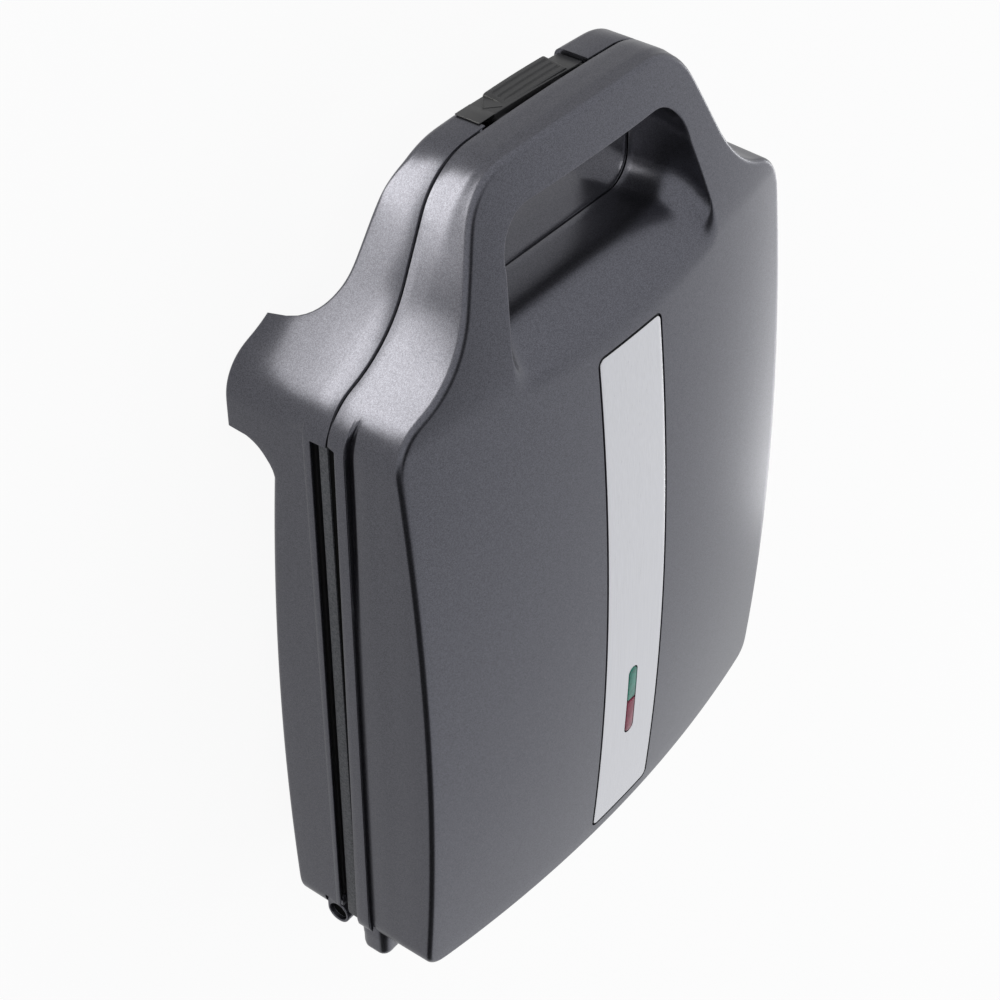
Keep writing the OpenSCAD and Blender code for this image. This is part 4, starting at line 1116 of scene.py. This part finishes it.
def pocketTriangles():
    p = plateShape
    cx, cy, d = (p["width"] - 10) / 2, (p["length"] - 10) / 2, p["ridge"] / 2
    found = []
    for ix in (-1, 1):
        for iy in (-1, 1):
            x, y, hx, hy, c = ix * cx / 2, iy * cy / 2, cx / 2 - d, cy / 2 - d, ix * iy
            found.append([(x - hx, y - c * hy + c * 1.9 * d), (x - hx, y + c * hy), (x + hx - 1.9 * d, y + c * hy)])
            found.append([(x + hx, y + c * hy - c * 1.9 * d), (x + hx, y - c * hy), (x - hx + 1.9 * d, y - c * hy)])
    return np.array(found)


def triangleDistance(points, corners, inset, radius):
    # distance to a rounded triangle, negative inside
    centre = corners.mean(axis=0)
    q = corners + unitRows(centre - corners) * inset
    nearest = np.full(len(points), 1e9)
    inside = np.ones(len(points), bool)
    turn = np.sign((q[1] - q[0])[0] * (q[2] - q[0])[1] - (q[1] - q[0])[1] * (q[2] - q[0])[0])
    for k in range(3):
        a, b = q[k], q[(k + 1) % 3]
        edge, rel = b - a, points - a
        t = np.clip(rel @ edge / (edge @ edge), 0, 1)
        nearest = np.minimum(nearest, np.linalg.norm(rel - t[:, None] * edge, axis=1))
        inside &= (edge[0] * rel[:, 1] - edge[1] * rel[:, 0]) * turn > 0
    return np.where(inside, -nearest, nearest) - radius


def pocketDepth(points):
    depth = np.zeros(len(points))
    for corners in pocketTriangles():
        top = triangleDistance(points, corners, 8, 4.5)
        low = triangleDistance(points, corners, 19, 4.0)
        a, b = np.maximum(0, -top), np.maximum(0, low)
        t = a / np.maximum(a + b, 1e-6)
        depth = np.maximum(depth, plateShape["depth"] * (0.12 * t + 0.88 * easeIn(t)))
    return depth


def buildPlate(side):
    # side -1 is the lower plate, 1 the upper
    p = plateShape
    clearSelection()
    bpy.ops.mesh.primitive_grid_add(x_subdivisions=p["cells"][0], y_subdivisions=p["cells"][1], size=2.0)
    plate = bpy.context.object
    name = "lower_grill_plate" if side < 0 else "upper_grill_plate"
    plate.name = plate.data.name = name + "_finished"
    flat = np.empty(len(plate.data.vertices) * 3)
    plate.data.vertices.foreach_get("co", flat)
    u, v = flat.reshape(-1, 3)[:, 0], flat.reshape(-1, 3)[:, 1]
    rows, n, r = p["cells"][1], p["cornerRows"], p["corner"]
    half, reach = p["width"] / 2, p["length"] / 2
    row = (v + 1) / 2 * rows
    edge = np.minimum(row, rows - row)
    a = np.pi / 2 * (1 - np.clip(edge / n, 0, 1))
    inEnd = edge < n
    depth = np.where(inEnd, r * (1 - np.sin(a)), r + (edge - n) / (rows / 2 - n) * (reach - r))
    width = np.where(inEnd, half - r + r * np.cos(a), half)
    x, y = u * width, np.where(v > 0, reach - depth, depth - reach)
    y[np.abs(v) < 1e-6] = 0
    z = p["level"] + side * (p["gap"] + pocketDepth(np.column_stack([x, y])))
    plate.data.vertices.foreach_set("co", (np.column_stack([x, y + p["y"], z]) * mm).ravel())
    plate.data.update()
    faceUpwards(plate, -side)
    thicken(plate, p["thickness"])
    smooth(plate, 75)
    finishPiece(plate, "lid" if side > 0 else "base", "nonstick", "nonStick", name)
    print("plate:", len(plate.data.polygons), "faces")


buildPlate(-1)
buildPlate(1)


# pieces whose CAD shape is right: a merged copy with its edges broken
def refined(node, body, slot, finish, width=0.3, adjust=None, segments=2, angle=30):
    clearSelection()
    source = cadNodes[node]
    copy = source.copy()
    copy.data = source.data.copy()
    copy.parent = None
    copy.matrix_world = source.matrix_world.copy()
    bpy.context.scene.collection.objects.link(copy)
    copy.name = node + "_finished"
    pick(copy)
    bpy.ops.object.mode_set(mode="EDIT")
    bpy.ops.mesh.select_all(action="SELECT")
    bpy.ops.mesh.remove_doubles(threshold=0.00001)
    bpy.ops.mesh.dissolve_limited(angle_limit=math.radians(1.0))
    bpy.ops.object.mode_set(mode="OBJECT")
    if adjust:
        adjust(copy)
    soft = copy.modifiers.new("edge", "BEVEL")
    soft.width = width * mm
    soft.segments = segments
    soft.limit_method = "ANGLE"
    soft.angle_limit = math.radians(angle)
    bpy.ops.object.modifier_apply(modifier=soft.name)
    smooth(copy, 35)
    finishPiece(copy, body, slot, finish, node)
    return copy


def slopeFrame(piece):
    # the rim of the lid's plate frame is lower behind the handle, which opens the second side slot
    start, end = bodyPlan["stepY"], bodyPlan["rearY"] - 14
    for vert in piece.data.vertices:
        x, y, z = vert.co / mm
        if abs(x) > 121.6 and y < -93.2:
            vert.co.x = math.copysign(121.6 * mm, x)
            if y > -97.2:
                vert.co.y = -93.3 * mm
        if abs(x) > 123 and z > bodyPlan["seamZ"] - 0.5 and y > start:
            vert.co.z -= 1.5 * mm * float(np.clip((end - y) / (end - start), 0, 1))


def narrowLens(piece):
    # leaves a dark line between the lenses and round them
    ys = [vert.co.y for vert in piece.data.vertices]
    middle = (min(ys) + max(ys)) / 2
    for vert in piece.data.vertices:
        vert.co.x *= 0.86
        vert.co.y = middle + (vert.co.y - middle) * 0.955


def recessEnd(piece):
    # shallow round recess in the outer end of the hinge barrel; a near-black, unreflective disc at its floor is painted
    # shade of the hollow
    side = 1 if piece.data.vertices[0].co.x > 0 else -1
    cutAway(piece, tube((4.5, 4.5), (side * 121.5, side * 126), (0, 170.3, 39.5), "x", 40))
    hollowShade = tube((4.3, 4.3, 3.9), (side * 121.4, side * 121.75, side * 121.9), (0, 170.3, 39.5), "x", 40)
    hollowShade.name = hollowShade.data.name = "barrel_hollow_shade_" + ("right" if side > 0 else "left")
    smooth(hollowShade)
    finishPiece(hollowShade, "base", "black_plastic", "paintedShade")
    pick(piece)


refinedPieces = (
    ("lid_bezel", "lid", "plate_frame", "plateFrame", 0.3, slopeFrame), ("base_bezel", "base", "black_plastic", "blackPlastic", 0.3),
    ("hinge_bracket_left", "base", "housing", "housing", 0.35, recessEnd),
    ("hinge_bracket_right", "base", "housing", "housing", 0.35, recessEnd),
    ("lid_hinge_lug_left", "lid", "housing", "housing", 0.35), ("lid_hinge_lug_right", "lid", "housing", "housing", 0.35),
    ("latch_catch", "lid", "latch_plastic", "latchPlastic", 0.25),
    ("cord_gland", "base", "black_plastic", "blackPlastic", 0.4), ("terminal_block", "base", "white_plastic", "whitePlastic", 0.4),
    ("lamp_holder", "lid", "white_plastic", "whitePlastic", 0.4), ("lower_reflector", "base", "reflector", "reflector", 0.2),
    ("upper_reflector", "lid", "reflector", "reflector", 0.2), ("ready_lens", "lid", "green_lens", "greenLens", 0.35, narrowLens),
    ("power_lens", "lid", "red_lens", "redLens", 0.35, narrowLens),
)
for piece in refinedPieces:
    refined(*piece)
print("edges broken on", len(refinedPieces), "pieces")

# CAD pieces that keep their shape
keptFinishes = {
    "lower_heating_element": "elementSheath", "upper_heating_element": "elementSheath",
    "thermostat": "ceramic", "thermal_fuse": "ceramic", "hinge_pin_left": "steel", "hinge_pin_right": "steel",
    "front_foot_pads": "rubber", "rear_foot_pads": "rubber", "base_screws": "steel", "lower_plate_screws": "steel",
    "lid_screws": "steel", "upper_plate_screws": "steel", "trim_pad": "blackPlastic",
    "ready_lamp": "lampGlass", "power_lamp": "lampGlass",
}
for node, finish in keptFinishes.items():
    slots = cadNodes[node].data.materials
    if not slots:
        slots.append(materials[finish])
    for k in range(len(slots)):
        slots[k] = materials[finish]


# ---- floor, world and lamps ----
floorSetup = {"size": 14.0, "white": 0.93, "tone": 0.93, "mirrored": 0.72}


def addFloor():
    clearSelection()
    bpy.ops.mesh.primitive_plane_add(size=floorSetup["size"])
    floor = bpy.context.object
    floor.name = "floor"
    material = bpy.data.materials.new("floor")
    material.use_nodes = True
    tree = material.node_tree
    shader = tree.nodes["Principled BSDF"]
    tone = floorSetup["tone"]
    shader.inputs["Base Color"].default_value = (tone, tone, tone, 1)
    shader.inputs["Roughness"].default_value = 0.9
    glow = addNode(tree, "ShaderNodeEmission")
    glow.inputs["Strength"].default_value = 1.0
    path = addNode(tree, "ShaderNodeLightPath")
    some = addNode(tree, "ShaderNodeMath", operation="MAXIMUM")
    seen = addNode(tree, "ShaderNodeMath", operation="MAXIMUM")
    part = addNode(tree, "ShaderNodeMath", operation="MULTIPLY")
    part.inputs[1].default_value = floorSetup["white"]
    level = addNode(tree, "ShaderNodeMapRange")
    level.inputs["To Min"].default_value = 1.0
    level.inputs["To Max"].default_value = floorSetup["mirrored"]
    mix = addNode(tree, "ShaderNodeMixShader")
    link = tree.links.new
    link(path.outputs["Is Camera Ray"], some.inputs[0])
    link(path.outputs["Is Glossy Ray"], some.inputs[1])
    link(some.outputs[0], seen.inputs[0])
    link(path.outputs["Is Transmission Ray"], seen.inputs[1])
    link(seen.outputs[0], part.inputs[0])
    link(part.outputs[0], mix.inputs["Fac"])
    link(path.outputs["Is Glossy Ray"], level.inputs["Value"])
    link(level.outputs["Result"], glow.inputs["Strength"])
    link(shader.outputs["BSDF"], mix.inputs[1])
    link(glow.outputs["Emission"], mix.inputs[2])
    link(mix.outputs["Shader"], tree.nodes["Material Output"].inputs["Surface"])
    floor.data.materials.append(material)


# even light, with a dark ceiling and a dark patch behind the object to the right; white where the camera sees it
worldSetup = {"level": 1.0, "ceiling": (0.82, 0.96), "patchWay": (0.6, 0.64, 0.38), "patchEdge": (0.68, 0.86)}


def addWorld():
    world = bpy.data.worlds.new("studio")
    bpy.context.scene.world = world
    world.use_nodes = True
    tree = world.node_tree
    back = tree.nodes["Background"]
    place = addNode(tree, "ShaderNodeTexCoord")
    path = addNode(tree, "ShaderNodeLightPath")
    height = addNode(tree, "ShaderNodeSeparateXYZ")
    toward = addNode(tree, "ShaderNodeVectorMath", operation="DOT_PRODUCT")
    toward.inputs[1].default_value = Vector(worldSetup["patchWay"]).normalized()
    fades = []
    for edges in (worldSetup["ceiling"], worldSetup["patchEdge"]):
        fade = addNode(tree, "ShaderNodeMapRange", interpolation_type="SMOOTHSTEP")
        fade.inputs["From Min"].default_value, fade.inputs["From Max"].default_value = edges
        fade.inputs["To Min"].default_value = worldSetup["level"]
        fade.inputs["To Max"].default_value = 0.02
        fades.append(fade)
    least = addNode(tree, "ShaderNodeMath", operation="MINIMUM")
    most = addNode(tree, "ShaderNodeMath", operation="MAXIMUM")
    link = tree.links.new
    link(place.outputs["Generated"], height.inputs[0])
    link(place.outputs["Generated"], toward.inputs[0])
    link(height.outputs["Z"], fades[0].inputs["Value"])
    link(toward.outputs["Value"], fades[1].inputs["Value"])
    link(fades[0].outputs["Result"], least.inputs[0])
    link(fades[1].outputs["Result"], least.inputs[1])
    link(least.outputs[0], most.inputs[0])
    link(path.outputs["Is Camera Ray"], most.inputs[1])
    link(most.outputs[0], back.inputs["Strength"])
    back.inputs["Color"].default_value = (0.97, 0.98, 1.0, 1)


lampSetup = {
    "floor_card": {"place": (0.145, -0.2765, 0.003), "aim": (0.145, -0.2765, 0.3), "size": (0.14, 0.217), "power": 0.55,
                   "tone": (1.0, 0.985, 0.93)},
    "leg_card": {"place": (0.131, -0.150, 0.003), "aim": (0.131, -0.150, 0.3), "size": (0.062, 0.038), "power": 0.020,
                 "tone": (1.0, 0.985, 0.93)},
    "rear_softbox": {"place": (-1.5, 0.58, 0.17), "aim": (0.0, 0.05, 0.08), "size": (1.1, 0.26), "power": 3.4},
}


def addLamps():
    for name, lamp in lampSetup.items():
        data = bpy.data.lights.new(name, "AREA")
        data.shape = "RECTANGLE"
        data.size, data.size_y = lamp["size"]
        data.energy = lamp["power"]
        data.color = lamp.get("tone", (1, 1, 1))
        light = bpy.data.objects.new(name, data)
        light.location = lamp["place"]
        way = Vector(lamp["place"]) - Vector(lamp["aim"])
        light.rotation_euler = way.to_track_quat("Z", "Y").to_euler()
        light.visible_camera = False
        bpy.context.scene.collection.objects.link(light)


addFloor()
addWorld()
addLamps()
print("floor, world and lamps in place")
